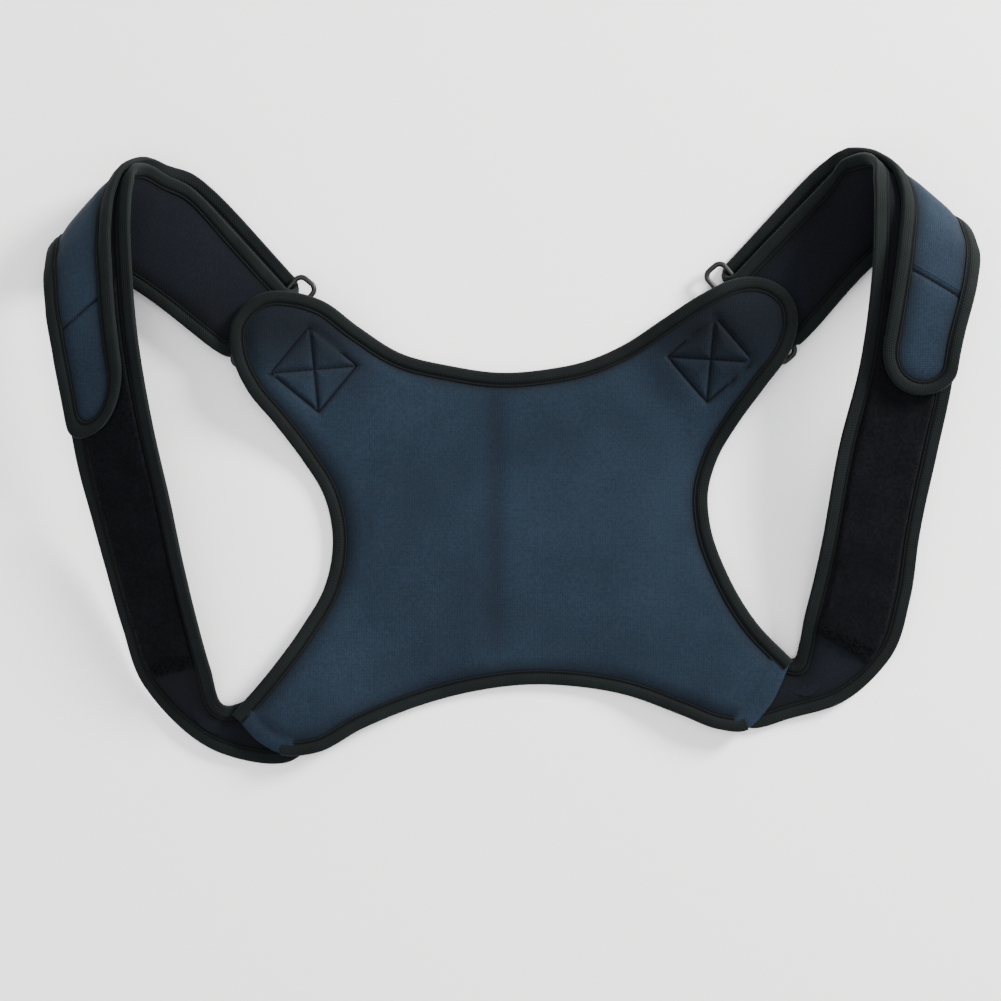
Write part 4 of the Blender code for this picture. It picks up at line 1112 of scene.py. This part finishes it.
def make_nap(strap, sizes):
    """Fibres of the nap: thin leaning spikes with three sides, each closed."""
    side = strap.side
    random = np.random.default_rng(7 + SIDES[side])
    start, end = strap.along(PILE_FROM), strap.along(PILE_TO[side])
    count = sizes.fibre_count
    stations = np.linspace(start + MM, end - MM, FIBRE_STATIONS)
    picked = np.sort(random.integers(0, len(stations) - 1, count))
    points = np.empty((count, 4, 3))
    for station in range(len(stations) - 1):
        rows = np.nonzero(picked == station)[0]
        if not len(rows):
            continue
        t = stations[station]
        a, b = pile_span(strap, t)
        v = a + (b - a) * random.uniform(0.01, 0.99, len(rows))
        base = strap.at(t, v, np.full(len(rows), HALF + GAP + PILE_THICK - 0.75 * MM))
        top = strap.at(t, v, np.full(len(rows), HALF + GAP + PILE_THICK + 0.25 * MM))
        _, _, da, _ = strap.edges(t)
        slide = unit(da) * random.uniform(0, stations[1] - stations[0], len(rows))[:, None]
        rise = unit(top - base)
        lean = random.normal(0, 0.55, (len(rows), 3))
        long = sizes.fibre_long * random.uniform(0.7, 1.15, len(rows))[:, None]
        tip = base + slide + rise * long + lean * 0.45 * MM
        around = random.normal(0, 1, (len(rows), 3))
        one = unit(np.cross(rise, around)) * FIBRE_WIDE
        two = np.cross(rise, one)
        points[rows, 0] = base + slide + one
        points[rows, 1] = base + slide - one / 2 + two * 0.87
        points[rows, 2] = base + slide - one / 2 - two * 0.87
        points[rows, 3] = tip
    corner = np.arange(count)[:, None, None] * 4
    faces = (corner + np.array([[0, 2, 1], [0, 1, 3], [1, 2, 3], [2, 0, 3]])[None]).reshape(-1, 3)
    item = make_piece(f"{side}_loop_nap", points.reshape(-1, 3), faces, ["pile"])
    bends_at_fold(item, strap)
    return item


# ----------------------------------------------------------------------------------------------- panel


def rise_at(xy):
    """Height of the panel's underside: flat on the table, raised over the rings and the strap ends."""
    rise = np.zeros(len(xy))
    for side, lobe in LOBES.items():
        t = (xy - lobe.middle[:2]) @ lobe.forward[:2]
        rise += LOBE_RISE * smooth_step((t + LOBE_START) / (LOBE_START - LOBE_END))
        corner, towards = CORNERS[side]
        t = (xy - np.array(corner) * MM) @ np.array(towards)
        rise += CORNER_RISE[side] * smooth_step((t + CORNER_START) / (CORNER_START - CORNER_END))
    return rise


def outline_points(drawn):
    """Points along a smooth curve through the drawn ones, evenly spaced."""
    points = np.array(drawn, float) * MM
    knots = lengths_of(points)
    count = max(2, round(knots[-1] / OUTLINE_STEP))
    return np.array([spline(knots, points, t)[0] for t in np.linspace(0, knots[-1], count + 1)])


def inward(points):
    """Inward normals of an open curve whose inside is on its left."""
    tangents = unit(np.gradient(points, axis=0))
    return np.stack([-tangents[:, 1], tangents[:, 0]], axis=1)


def inset_loop(loop, distance):
    """A closed loop moved inwards, with sharp corners mitred."""
    before, after = unit(loop - np.roll(loop, 1, axis=0)), unit(np.roll(loop, -1, axis=0) - loop)
    normal_before = np.stack([-before[:, 1], before[:, 0]], axis=1)
    normal_after = np.stack([-after[:, 1], after[:, 0]], axis=1)
    mitre = unit(normal_before + normal_after)
    stretch = 1 / np.maximum(0.5, (mitre * normal_after).sum(axis=1, keepdims=True))
    return loop + mitre * distance * stretch


def depth_in(points, loop):
    """Signed distance of each point from a closed loop, positive inside."""
    found = []
    a, b = loop, np.roll(loop, -1, axis=0)
    along = b - a
    slope = along[:, 0] / np.where(along[:, 1] == 0, 1e-12, along[:, 1])
    for some in np.array_split(points, max(1, len(points) // 1500)):
        rel = some[:, None] - a[None]
        share = np.clip((rel * along).sum(-1) / (along**2).sum(-1), 0, 1)
        nearest = np.linalg.norm(rel - share[..., None] * along, axis=-1).min(axis=1)
        crosses = (a[None, :, 1] > some[:, None, 1]) != (b[None, :, 1] > some[:, None, 1])
        x_cross = a[:, 0] + (some[:, None, 1] - a[:, 1]) * slope
        inside = (crosses & (some[:, None, 0] < x_cross)).sum(axis=1) % 2 == 1
        found.append(np.where(inside, nearest, -nearest))
    return np.concatenate(found)


def box_lines(lobe):
    """The square and its diagonals sewn on a lobe, as pairs of ends."""
    half = BOX_SIDE / 2
    corners = [lobe.place(f - BOX_BACK, a + BOX_ASIDE, 0)[:2] for f, a in
               ((-half, -half), (half, -half), (half, half), (-half, half))]
    sides = list(zip(corners, corners[1:] + corners[:1]))
    return sides + [(corners[0], corners[2]), (corners[1], corners[3])]


def distance_to_lines(points, lines):
    """Distance of each point from the nearest of some straight lines."""
    found = np.full(len(points), 1.0)
    for a, b in lines:
        along = b - a
        share = np.clip(((points - a) @ along) / (along @ along), 0, 1)
        found = np.minimum(found, np.linalg.norm(points - a - share[:, None] * along, axis=1))
    return found


def panel_outline():
    """The panel's whole outline as a closed loop."""
    return np.concatenate([outline_points(PANEL_TOP)[:-1], outline_points(PANEL_LOW)[:-1]])


def panel_mesh(outline):
    """Flat places and faces of the panel's cloth, closer at its edge and round its box stitches."""
    loops = [inset_loop(outline, TAPE_THICK + GAP)]
    for inset in EDGE_INSETS[1:]:
        loop = inset_loop(outline, inset)
        loops.append(loop[depth_in(loop, outline) > inset - 0.25 * MM])
    low, high = outline.min(axis=0), outline.max(axis=0)
    step = PANEL_GRID
    spots = np.array([(x + (r % 2) * step / 2, y)
                      for r, y in enumerate(np.arange(low[1], high[1], step * 0.87))
                      for x in np.arange(low[0], high[0], step)])
    spots = spots[depth_in(spots, outline) > EDGE_INSETS[-1] + step * 0.6]
    fine = []
    for lobe in LOBES.values():
        reach = BOX_SIDE / 2 + 3 * MM
        steps = np.arange(-reach, reach + BOX_GRID / 2, BOX_GRID)
        for f in steps:
            fine += [lobe.place(f - BOX_BACK, a + BOX_ASIDE, 0)[:2] for a in steps]
        rel = spots - lobe.middle[:2]
        forward, aside = rel @ lobe.forward[:2] + BOX_BACK, rel @ lobe.aside[:2] - BOX_ASIDE
        spots = spots[(np.abs(forward) > reach + BOX_GRID) | (np.abs(aside) > reach + BOX_GRID)]
    fine = np.array(fine)
    fine = fine[depth_in(fine, outline) > EDGE_INSETS[-1] + BOX_GRID]
    flat = np.concatenate([*loops, spots, fine])
    rim = len(loops[0])
    edges = [(k, (k + 1) % rim) for k in range(rim)]
    corners = [tuple(p) for p in flat]
    places, _, faces, *_ = delaunay_2d_cdt(corners, edges, [list(range(rim))], 1, 1e-9)
    return np.array([tuple(p) for p in places]), [list(face) for face in faces]


def cut_edge_share(places):
    """1 along the two cut lower corners, which have no tape, and 0 elsewhere."""
    bottom = outline_points(PANEL_LOW)
    knots = lengths_of(bottom)
    left = bottom[knots < LEFT_CUT_EDGE]
    right = bottom[knots > knots[-1] - RIGHT_CUT_EDGE]
    share = np.zeros(len(places))
    for part in (left, right):
        lines = list(zip(part[:-1], part[1:]))
        share = np.maximum(share, 1 - smooth_step((distance_to_lines(places, lines) - 10 * MM) / (3 * MM)))
    return share


def panel_relief(places, outline, sizes):
    """The face's height over the panel's underside, and how far it is pillowed, bare, rounded and shaded."""
    depth = depth_in(places, outline)
    bare = cut_edge_share(places)
    thin = TAPE_THICK + GAP
    pillow = smooth_step((depth - TAPE_WIDE - 0.3 * MM) / (9 * MM)) ** 0.6
    pillow = np.where(depth < TAPE_WIDE + 0.1 * MM, 0.0, pillow)
    rounded = np.sqrt(np.clip((depth - 0.6 * MM) / (3 * MM), 0, 1))
    pillow = pillow * (1 - bare) + bare * rounded * 0.9
    lines = [line for lobe in LOBES.values() for line in box_lines(lobe)]
    sewn = distance_to_lines(places, lines)
    pulled = dent(sewn, SEWN_DENT) + dent(sewn, SEWN_HOLLOW)
    x, y = places.T
    crease = dent(x - FOLD_X, FOLD_DENT) * smooth_step((y + 150 * MM) / (60 * MM))
    wave = np.array([ripple((*place, 0), 16) + 0.4 * ripple((*place, 0), 45, 5.0) for place in places])
    wave = wave * PANEL_WAVE * smooth_step((sewn - 2 * MM) / (15 * MM))
    top_out = PANEL_THICK - thin + (thin + sizes.panel_puff) * pillow + (wave - crease) * pillow - pulled
    bare_top = PANEL_THICK * (0.55 + 0.35 * rounded) + (wave - crease) * pillow
    top_out = top_out * (1 - bare) + bare_top * bare
    # Painted shade in the ditch beside the tape, along the box stitches, and in the fold down the middle.
    shade = np.maximum(ditch_beside_tape(depth) * (1 - bare), np.exp(-((sewn / (1.1 * MM)) ** 2)))
    shade = np.maximum(shade, crease / MM * 0.35)
    # Painted shade over the upper lobes, darker towards their tops and outer sides.
    lobes = smooth_step((y - 20 * MM) / (60 * MM)) * smooth_step((abs(x) - 45 * MM) / (65 * MM))
    shade = np.maximum(shade, 0.88 * lobes)
    return np.maximum(top_out, PANEL_THICK / 2 + 0.5 * MM), pillow, bare, rounded, shade


def make_panel(sizes):
    """The panel's face and lining, pillowed inside their edge tape and pulled down along every seam."""
    outline = panel_outline()
    places, faces = panel_mesh(outline)
    top_out, pillow, bare, rounded, shade = panel_relief(places, outline, sizes)
    rise = rise_at(places)
    thin = TAPE_THICK + GAP
    middle = PANEL_THICK / 2
    high = np.column_stack([places, rise + top_out])
    low = np.column_stack([places, rise + middle + GAP / 2])
    points, solid = closed_between(low, high, faces)
    face = make_piece("panel_cloth", points, solid, ["face"], cloth_uv(points), shade=np.tile(shade, 2))
    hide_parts("panel_face", "left_box_stitch", "right_box_stitch")
    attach(face, "back_panel")
    under = thin * (1 - pillow) * (1 - bare) + bare * (1 - rounded) * MM
    low = np.column_stack([places, rise + under])
    high = np.column_stack([places, rise + middle - GAP / 2])
    points, solid = closed_between(low, high, faces)
    back = make_piece("panel_back_cloth", points, solid, ["lining"], cloth_uv(points))
    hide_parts("panel_lining")
    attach(back, "back_panel")
    return face, back


def panel_tape_profile(dome, seam_in):
    """The panel's tape, as (in from the edge, up from the panel's underside), flat beneath."""
    top = PANEL_THICK + dome + 0.2 * MM
    seam = PANEL_THICK - TAPE_THICK - GAP + 0.45 * MM
    outer = [(TAPE_WIDE, seam - 0.2 * MM), (TAPE_WIDE - 0.25 * MM, seam + 0.2 * MM),
             (TAPE_WIDE - seam_in + 0.4 * MM, seam + 0.2 * MM), (TAPE_WIDE - seam_in, seam - 0.05 * MM),
             (TAPE_WIDE - seam_in - 0.5 * MM, seam + 0.25 * MM),
             (TAPE_WIDE - seam_in - 1.4 * MM, top - 0.12 * MM),
             (TAPE_WIDE * 0.52, top), (TAPE_WIDE * 0.36, top - 0.06 * MM)]
    middle = PANEL_THICK / 2
    outer += [(s, middle + (top - middle) * kept) for s, kept in round_over(range(1, TAPE_ROUND_STEPS))]
    outer.append((0.0, middle))
    outer += [(s, middle - middle * kept) for s, kept in round_over(range(TAPE_ROUND_STEPS - 1, -1, -1))]
    outer += [(TAPE_WIDE - seam_in, 0.02 * MM), (TAPE_WIDE, 0.05 * MM)]
    deep, shallow = TAPE_WIDE - 0.1 * MM, TAPE_THICK + 0.1 * MM
    upper = PANEL_THICK - TAPE_THICK
    return outer + [(deep, TAPE_THICK), (shallow, TAPE_THICK), (shallow, upper), (deep, upper)]


def lower_edge(bottom):
    """The bound stretch of the panel's lower edge, between its two cut corners."""
    knots = lengths_of(bottom)
    span = knots[-1] - LEFT_CUT_EDGE - RIGHT_CUT_EDGE
    lengths = np.linspace(LEFT_CUT_EDGE, knots[-1] - RIGHT_CUT_EDGE, round(span / OUTLINE_STEP) + 1)
    return np.array([spline(knots, bottom, t)[0] for t in lengths])


def make_panel_tapes(sizes):
    """The edge tapes round the neck and armholes, and along the lower edge."""
    profile = np.array(panel_tape_profile(sizes.tape_dome, sizes.seam_in))
    made = []
    edges = {"upper": outline_points(PANEL_TOP), "lower": lower_edge(outline_points(PANEL_LOW))}
    for which, curve in edges.items():
        rings = []
        for point, normal in zip(curve, inward(curve)):
            spots = point + normal * profile[:, :1]
            swell = 1 + 0.05 * ripple((*point, 0), 90, 3.0)
            rings.append(np.column_stack([spots, rise_at(spots) + profile[:, 1] * swell]))
        points, solid, uv = sweep(np.array(rings), flat_uv(lengths_of(profile), lengths_of(curve)))
        shade = np.tile(seam_on_tape(profile, sizes.seam_in), len(curve))
        item = make_piece(f"panel_edge_tape_{which}", points, solid, ["tape"], uv, shade=shade)
        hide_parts(f"panel_binding_{which}")
        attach(item, "back_panel")
        made.append(item)
    return made


# ----------------------------------------------------------------------------------- rings and webbing


def only(item):
    """Selects this object alone and makes it the active one."""
    for other in bpy.context.selected_objects:
        other.select_set(False)
    item.select_set(True)
    bpy.context.view_layer.objects.active = item


def select_where(item, test):
    """In edit mode, selects the points that pass a test of their place."""
    work = bmesh.from_edit_mesh(item.data)
    for vert in work.verts:
        vert.select_set(bool(test(vert.co)))
    work.select_flush_mode()
    bmesh.update_edit_mesh(item.data)


def spread_halves(item, axis, reach):
    """Moves the two halves of a shape apart along an axis, which leaves straight sides between them."""
    for sign in (-1, 1):
        select_where(item, lambda co, sign=sign: co[axis] * sign > 1e-6)
        shift = [0.0, 0.0, 0.0]
        shift[axis] = sign * reach
        bpy.ops.transform.translate(value=shift)


def model_ring(side, lobe):
    """A rectangular ring of round bar: a torus whose halves are drawn apart both ways."""
    depth = RING_SLOT + RING_BAR
    half_long = lobe.long / 2 + RING_SPARE + RING_BAR / 2
    bpy.ops.object.select_all(action="DESELECT")
    bpy.ops.mesh.primitive_torus_add(
        major_radius=RING_CORNER, minor_radius=RING_BAR / 2, major_segments=32, minor_segments=16,
        location=(0, 0, 0))
    item = bpy.context.active_object
    bpy.ops.object.mode_set(mode="EDIT")
    bpy.ops.mesh.select_mode(type="VERT")
    spread_halves(item, 0, depth / 2 - RING_CORNER)
    spread_halves(item, 1, half_long - RING_CORNER)
    bpy.ops.object.mode_set(mode="OBJECT")
    item.name = item.data.name = f"{side}_acetal_ring"
    item.rotation_euler = (0, 0, math.atan2(lobe.forward[1], lobe.forward[0]))
    item.location = lobe.place(-depth / 2, 0, RING_HEIGHT) + OFFSET
    only(item)
    bpy.ops.object.transform_apply(location=True, rotation=True, scale=True)
    bpy.ops.object.shade_smooth()
    item.data.materials.clear()
    item.data.materials.append(finish_of("ring"))
    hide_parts(f"{side}_ring")
    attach(item, f"{side}_ring_body")
    return item


def make_webbing(side, lobe):
    """One strip of webbing folded round the ring's inner bar, both ends flat under the lobe."""
    bar = -(RING_SLOT + RING_BAR)
    start = -BOX_BACK - BOX_SIDE / 2
    near = bar - WEB_LEAVES_LOBE
    turn = RING_BAR / 2 + GAP + WEB_THICK / 2

    def under_panel(forward, below):
        spots = np.array([lobe.place(forward, a, 0)[:2] for a in (-WEB_WIDE / 2, 0, WEB_WIDE / 2)])
        return rise_at(spots).min() - 3 * GAP - below

    upper = [(f, under_panel(f, WEB_THICK / 2)) for f in np.linspace(start, near, 24)]
    lower = [(f, under_panel(f, WEB_THICK * 1.5 + GAP)) for f in np.linspace(near, start, 24)]
    arc = [(bar + math.sin(a) * turn, RING_HEIGHT + math.cos(a) * turn)
           for a in np.linspace(-WEB_PAST_HALF_TURN, math.pi + WEB_PAST_HALF_TURN, 19)]
    path = np.array(upper + arc + lower)
    tangents = unit(np.gradient(path, axis=0))
    normals = np.stack([-tangents[:, 1], tangents[:, 0]], axis=1)
    run = lengths_of(path)
    across = np.linspace(-WEB_WIDE / 2, WEB_WIDE / 2, 13)
    half = WEB_THICK / 2 * np.clip(((WEB_WIDE / 2 - np.abs(across)) / MM) ** 0.5, 0.35, 1)
    low, high = [], []
    for (f, z), (nf, nz) in zip(path, normals):
        low.append([lobe.place(f - nf * h, a, z - nz * h) for a, h in zip(across, half)])
        high.append([lobe.place(f + nf * h, a, z + nz * h) for a, h in zip(across, half)])
    points, faces, uv = slab(np.array(low), np.array(high), flat_uv(across, run))
    item = make_piece(f"{side}_woven_webbing", points, faces, ["webbing"], uv)
    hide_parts(f"{side}_ring_webbing")
    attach(item, "back_panel")
    return item, run[-1]


# -------------------------------------------------------------------------------------------- stitches


def model_capsule(radius, long):
    """Points and faces of one short length of thread: a ball whose halves are drawn apart along X."""
    bpy.ops.object.select_all(action="DESELECT")
    bpy.ops.mesh.primitive_uv_sphere_add(
        segments=STITCH_SEGMENTS, ring_count=STITCH_RINGS, radius=radius, location=(0, 0, 0))
    item = bpy.context.active_object
    bpy.ops.object.mode_set(mode="EDIT")
    bpy.ops.mesh.select_all(action="SELECT")
    bpy.ops.transform.rotate(value=math.pi / 2, orient_axis="Y", center_override=(0, 0, 0))
    bpy.ops.mesh.select_mode(type="VERT")
    spread_halves(item, 0, long / 2 - radius)
    bpy.ops.object.mode_set(mode="OBJECT")
    points = np.array([tuple(v.co) for v in item.data.vertices])
    faces = [list(p.vertices) for p in item.data.polygons]
    bpy.data.objects.remove(item, do_unlink=True)
    return points, faces


def place_copies(name, model, origins, tangents, normals, finish):
    """Copies of a small shape: its X along each tangent and its Z along each normal."""
    points, faces = model
    origins, tangents, normals = np.array(origins), unit(np.array(tangents)), np.array(normals)
    normals = unit(normals - tangents * (normals * tangents).sum(axis=1, keepdims=True))
    sides = np.cross(normals, tangents)
    x, y, z = points[None, :, :1], points[None, :, 1:2], points[None, :, 2:]
    placed = origins[:, None] + x * tangents[:, None] + y * sides[:, None] + z * normals[:, None]
    all_faces = [[k + copy * len(points) for k in face] for copy in range(len(origins)) for face in faces]
    return make_piece(name, placed.reshape(-1, 3), all_faces, [finish])


def along_line(places, above, pitch):
    """Evenly spaced stitches on a line of places: origins, tangents and normals."""
    run = lengths_of(places)
    count = max(1, round(run[-1] / pitch))
    at = (np.arange(count) + 0.5) * run[-1] / count
    origins = np.stack([np.interp(at, run, places[:, k]) for k in range(3)], axis=1)
    ahead = np.stack([np.interp(at + pitch / 4, run, places[:, k]) for k in range(3)], axis=1)
    behind = np.stack([np.interp(at - pitch / 4, run, places[:, k]) for k in range(3)], axis=1)
    normals = np.stack([np.interp(at, run, (above - places)[:, k]) for k in range(3)], axis=1)
    return list(origins), list(ahead - behind), list(normals)


def gather(lines, pitch):
    """Stitches of several lines, each a pair of places and the places just above them."""
    found = ([], [], [])
    for places, above in lines:
        for whole, more in zip(found, along_line(np.array(places), np.array(above), pitch)):
            whole.extend(more)
    return found


def strap_seams(strap, sizes):
    """Seam lines of the strap's tapes, on both faces."""
    s, h = seam_out(sizes.seam_in)
    lines = []
    for edge in ("inner", "outer"):
        for face in (1, -1):
            places, above = [], []
            for place, t, insets, _ in strap.rows():
                v = strap.from_edge(edge, t, s, insets)
                places.append(place(v, face * (h + 0.1 * MM))[0])
                above.append(place(v, face * (h + MM))[0])
            lines.append((places, above))
    return lines


def tab_seams(strap, sizes):
    """Seam line of the tab's tape on both faces, and the line sewn across the tab."""
    s, h = seam_out(sizes.seam_in)
    route = tab_route(strap, strap.tab_start)
    lines = [(tab_loop(strap, route, s, face * (h + 0.1 * MM)), tab_loop(strap, route, s, face * (h + MM)))
             for face in (1, -1)]
    inner_in, outer_in = strap.insets(strap.tab_start, True)
    inner_end, outer_end = CROSS_LINE[strap.side]
    places, above = [], []
    for share in np.linspace(0, 1, 24):
        t = strap.tab_start + inner_end + (outer_end - inner_end) * (0.2 + 0.6 * share)
        a = strap.from_inner(t, inner_in + TAPE_WIDE + 0.5 * MM)
        b = strap.from_outer(t, outer_in + TAPE_WIDE + 0.5 * MM)
        out = strap.layer(t) + HALF + sizes.strap_puff - 1.1 * MM
        places.append(strap.at(t, a + (b - a) * share, out)[0])
        above.append(strap.at(t, a + (b - a) * share, out + MM)[0])
    lines.append((places, above))
    return lines


def panel_seams(sizes):
    """Seam lines of the panel's tapes, on its face."""
    s = TAPE_WIDE - sizes.seam_in
    up = PANEL_THICK - TAPE_THICK - GAP + 0.5 * MM
    lines = []
    for curve in (outline_points(PANEL_TOP), lower_edge(outline_points(PANEL_LOW))):
        spots = curve + inward(curve) * s
        rise = rise_at(spots)
        lines.append((np.column_stack([spots, rise + up]), np.column_stack([spots, rise + up + MM])))
    return lines


def box_seams(sizes):
    """The square and diagonals of both box stitches, sunk in the panel's face."""
    outline = panel_outline()
    lines = []
    for lobe in LOBES.values():
        for a, b in box_lines(lobe):
            spots = a + (b - a) * np.linspace(0, 1, 24)[:, None]
            up = rise_at(spots) + panel_relief(spots, outline, sizes)[0] + 0.1 * MM
            lines.append((np.column_stack([spots, up]), np.column_stack([spots, up + MM])))
    return lines


def tack_threads(strap):
    """Crossing threads of the bar tack that holds the loop tape's lower end."""
    side = strap.side
    random = np.random.default_rng(21 + SIDES[side])
    end = strap.along(PILE_TO[side])
    origins, tangents, normals = [], [], []
    for _ in range(TACK_THREADS):
        t = end - random.uniform(1, 9) * MM
        a, b = pile_span(strap, t)
        v = a + (b - a) * random.uniform(0.06, 0.94)
        out = HALF + GAP + PILE_THICK + 0.1 * MM
        here, above = strap.at(t, v, out)[0], strap.at(t, v, out + MM)[0]
        near, far, da, _ = strap.edges(t)
        origins.append(here)
        tangents.append(unit(far - near) * random.normal(1, 0.2) + unit(da) * random.normal(0, 0.9))
        normals.append(above - here)
    return origins, tangents, normals


# ------------------------------------------------------------------------------------------- operators


class BraceStep(bpy.types.Operator):
    """One step of the brace's making."""

    bl_idname = "brace.step"
    bl_label = "Step"
    bl_options = {"REGISTER", "UNDO"}


class BracePanelOperator(BraceStep):
    """Makes the panel's face, its lining and their edge tapes"""

    bl_idname = "brace.panel"
    bl_label = "Panel"

    def execute(self, context):
        sizes = context.scene.brace_sizes
        face, back = make_panel(sizes)
        upper, lower = make_panel_tapes(sizes)
        outline = panel_outline()
        return {"FINISHED"}


class BraceStrapsOperator(BraceStep):
    """Makes both straps and the tapes on their edges"""

    bl_idname = "brace.straps"
    bl_label = "Straps"

    def execute(self, context):
        sizes = context.scene.brace_sizes
        for strap in BANDS.values():
            foam, run = make_strap_foam(strap, sizes)
            tapes = make_strap_tapes(strap, sizes)
        return {"FINISHED"}


class BraceTabsOperator(BraceStep):
    """Makes the rounded tabs, their edge tape and their hook patches"""

    bl_idname = "brace.tabs"
    bl_label = "Tabs"

    def execute(self, context):
        sizes = context.scene.brace_sizes
        pin = model_capsule(HOOK_RADIUS, HOOK_LONG)
        for strap in BANDS.values():
            foam, tape, patch = make_tab(strap, sizes)
            hooks = make_hooks(strap, sizes, pin)
        return {"FINISHED"}


class BraceLoopTapesOperator(BraceStep):
    """Makes the loop tapes and their nap"""

    bl_idname = "brace.loop_tapes"
    bl_label = "Loop tapes"

    def execute(self, context):
        sizes = context.scene.brace_sizes
        for strap in BANDS.values():
            tape, long = make_pile(strap, sizes)
            nap = make_nap(strap, sizes)
        return {"FINISHED"}


class BraceRingsOperator(BraceStep):
    """Makes the rings and the webbing that holds them"""

    bl_idname = "brace.rings"
    bl_label = "Rings"

    def execute(self, context):
        for side, lobe in LOBES.items():
            ring = model_ring(side, lobe)
            webbing, long = make_webbing(side, lobe)
        return {"FINISHED"}


class BraceStitchingOperator(BraceStep):
    """Sews every seam with separate stitches"""

    bl_idname = "brace.stitching"
    bl_label = "Stitching"

    def execute(self, context):
        sizes = context.scene.brace_sizes
        stitch = model_capsule(sizes.thread_wide / 2, sizes.stitch_long)
        pitch, tight = sizes.stitch_pitch, sizes.stitch_long * BOX_STITCH_PITCH
        sewn = place_copies("panel_stitching", stitch, *gather(panel_seams(sizes), pitch), "thread")
        boxes = place_copies("box_stitching", stitch, *gather(box_seams(sizes), tight), "thread")
        for item in (sewn, boxes):
            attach(item, "back_panel")
        for side, strap in BANDS.items():
            lines = gather(strap_seams(strap, sizes), pitch)
            item = place_copies(f"{side}_strap_stitching", stitch, *lines, "thread")
            bends_at_fold(item, strap)
            lines = gather(tab_seams(strap, sizes), pitch)
            item = place_copies(f"{side}_tab_stitching", stitch, *lines, "thread")
            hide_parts(f"{side}_cross_stitch")
            bends_at_tab(item, strap)
            item = place_copies(f"{side}_tack_threads", stitch, *tack_threads(strap), "thread")
            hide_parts(f"{side}_bar_tack")
            bends_at_fold(item, strap)
        return {"FINISHED"}


def add_light(name, place, size, power, colour):
    """A round soft light that shines on the brace's middle."""
    light = bpy.data.lights.new(name, "AREA")
    light.shape = "DISK"
    light.size = size
    light.energy = power
    light.color = colour
    item = bpy.data.objects.new(name, light)
    item.location = place
    item.rotation_euler = (-Vector(place)).to_track_quat("-Z", "Y").to_euler()
    bpy.context.scene.collection.objects.link(item)


class BraceStageOperator(BraceStep):
    """Makes the pale floor, the soft lights and the camera straight above"""

    bl_idname = "brace.stage"
    bl_label = "Stage"

    def execute(self, context):
        bpy.ops.object.select_all(action="DESELECT")
        bpy.ops.mesh.primitive_plane_add(size=FLOOR_SIDE, location=(0, 0, -FLOOR_DROP))
        floor = context.active_object
        floor.name = "floor"
        material, _, shader = new_material("pale floor", rough=0.9)
        shader.inputs["Base Color"].default_value = context.scene.brace_colours.floor[:]
        floor.data.materials.append(material)
        for name, light in LIGHTS.items():
            add_light(name, *light)
        world = bpy.data.worlds.new("white room")
        world.use_nodes = True
        backdrop = world.node_tree.nodes["Background"]
        backdrop.inputs["Color"].default_value = (1, 1, 1, 1)
        backdrop.inputs["Strength"].default_value = ROOM_STRENGTH
        context.scene.world = world
        low, high = CAD_BOX
        centre = (low + high) / 2
        camera = bpy.data.objects.new("camera", bpy.data.cameras.new("camera"))
        camera.data.lens = LENS_MM
        camera.data.sensor_width = SENSOR_MM
        camera.location = (centre.x + CAMERA_ASIDE[0], centre.y + CAMERA_ASIDE[1], CAMERA_HEIGHT)
        context.scene.collection.objects.link(camera)
        context.scene.camera = camera
        return {"FINISHED"}


class BraceSidebarPanel(bpy.types.Panel):
    """Lists the brace's steps in order"""

    bl_idname = "VIEW3D_PT_brace"
    bl_label = "Back brace"
    bl_space_type = "VIEW_3D"
    bl_region_type = "UI"
    bl_category = "Back brace"

    def draw(self, context):
        layout = self.layout
        for step in STEPS:
            layout.operator(step.bl_idname)
        for group in (context.scene.brace_sizes, context.scene.brace_colours):
            for name in group.__annotations__:
                layout.prop(group, name)


STEPS = (
    BraceRingsOperator,
    BracePanelOperator,
    BraceStrapsOperator,
    BraceLoopTapesOperator,
    BraceTabsOperator,
    BraceStitchingOperator,
    BraceStageOperator,
)
CLASSES = (BraceSizes, BraceColours, *STEPS, BraceSidebarPanel)


def register():
    """Adds the brace's sizes, colours, steps and sidebar panel to the running session."""
    for item in CLASSES:
        bpy.utils.register_class(item)
    bpy.types.Scene.brace_sizes = bpy.props.PointerProperty(type=BraceSizes)
    bpy.types.Scene.brace_colours = bpy.props.PointerProperty(type=BraceColours)


def unregister():
    """Takes away what register added."""
    del bpy.types.Scene.brace_colours
    del bpy.types.Scene.brace_sizes
    for item in reversed(CLASSES):
        bpy.utils.unregister_class(item)


def main():
    """Makes the whole brace and its stage."""
    register()
    for step in STEPS:
        group, name = step.bl_idname.split(".")
        getattr(getattr(bpy.ops, group), name)()


if __name__ == "__main__":
    main()
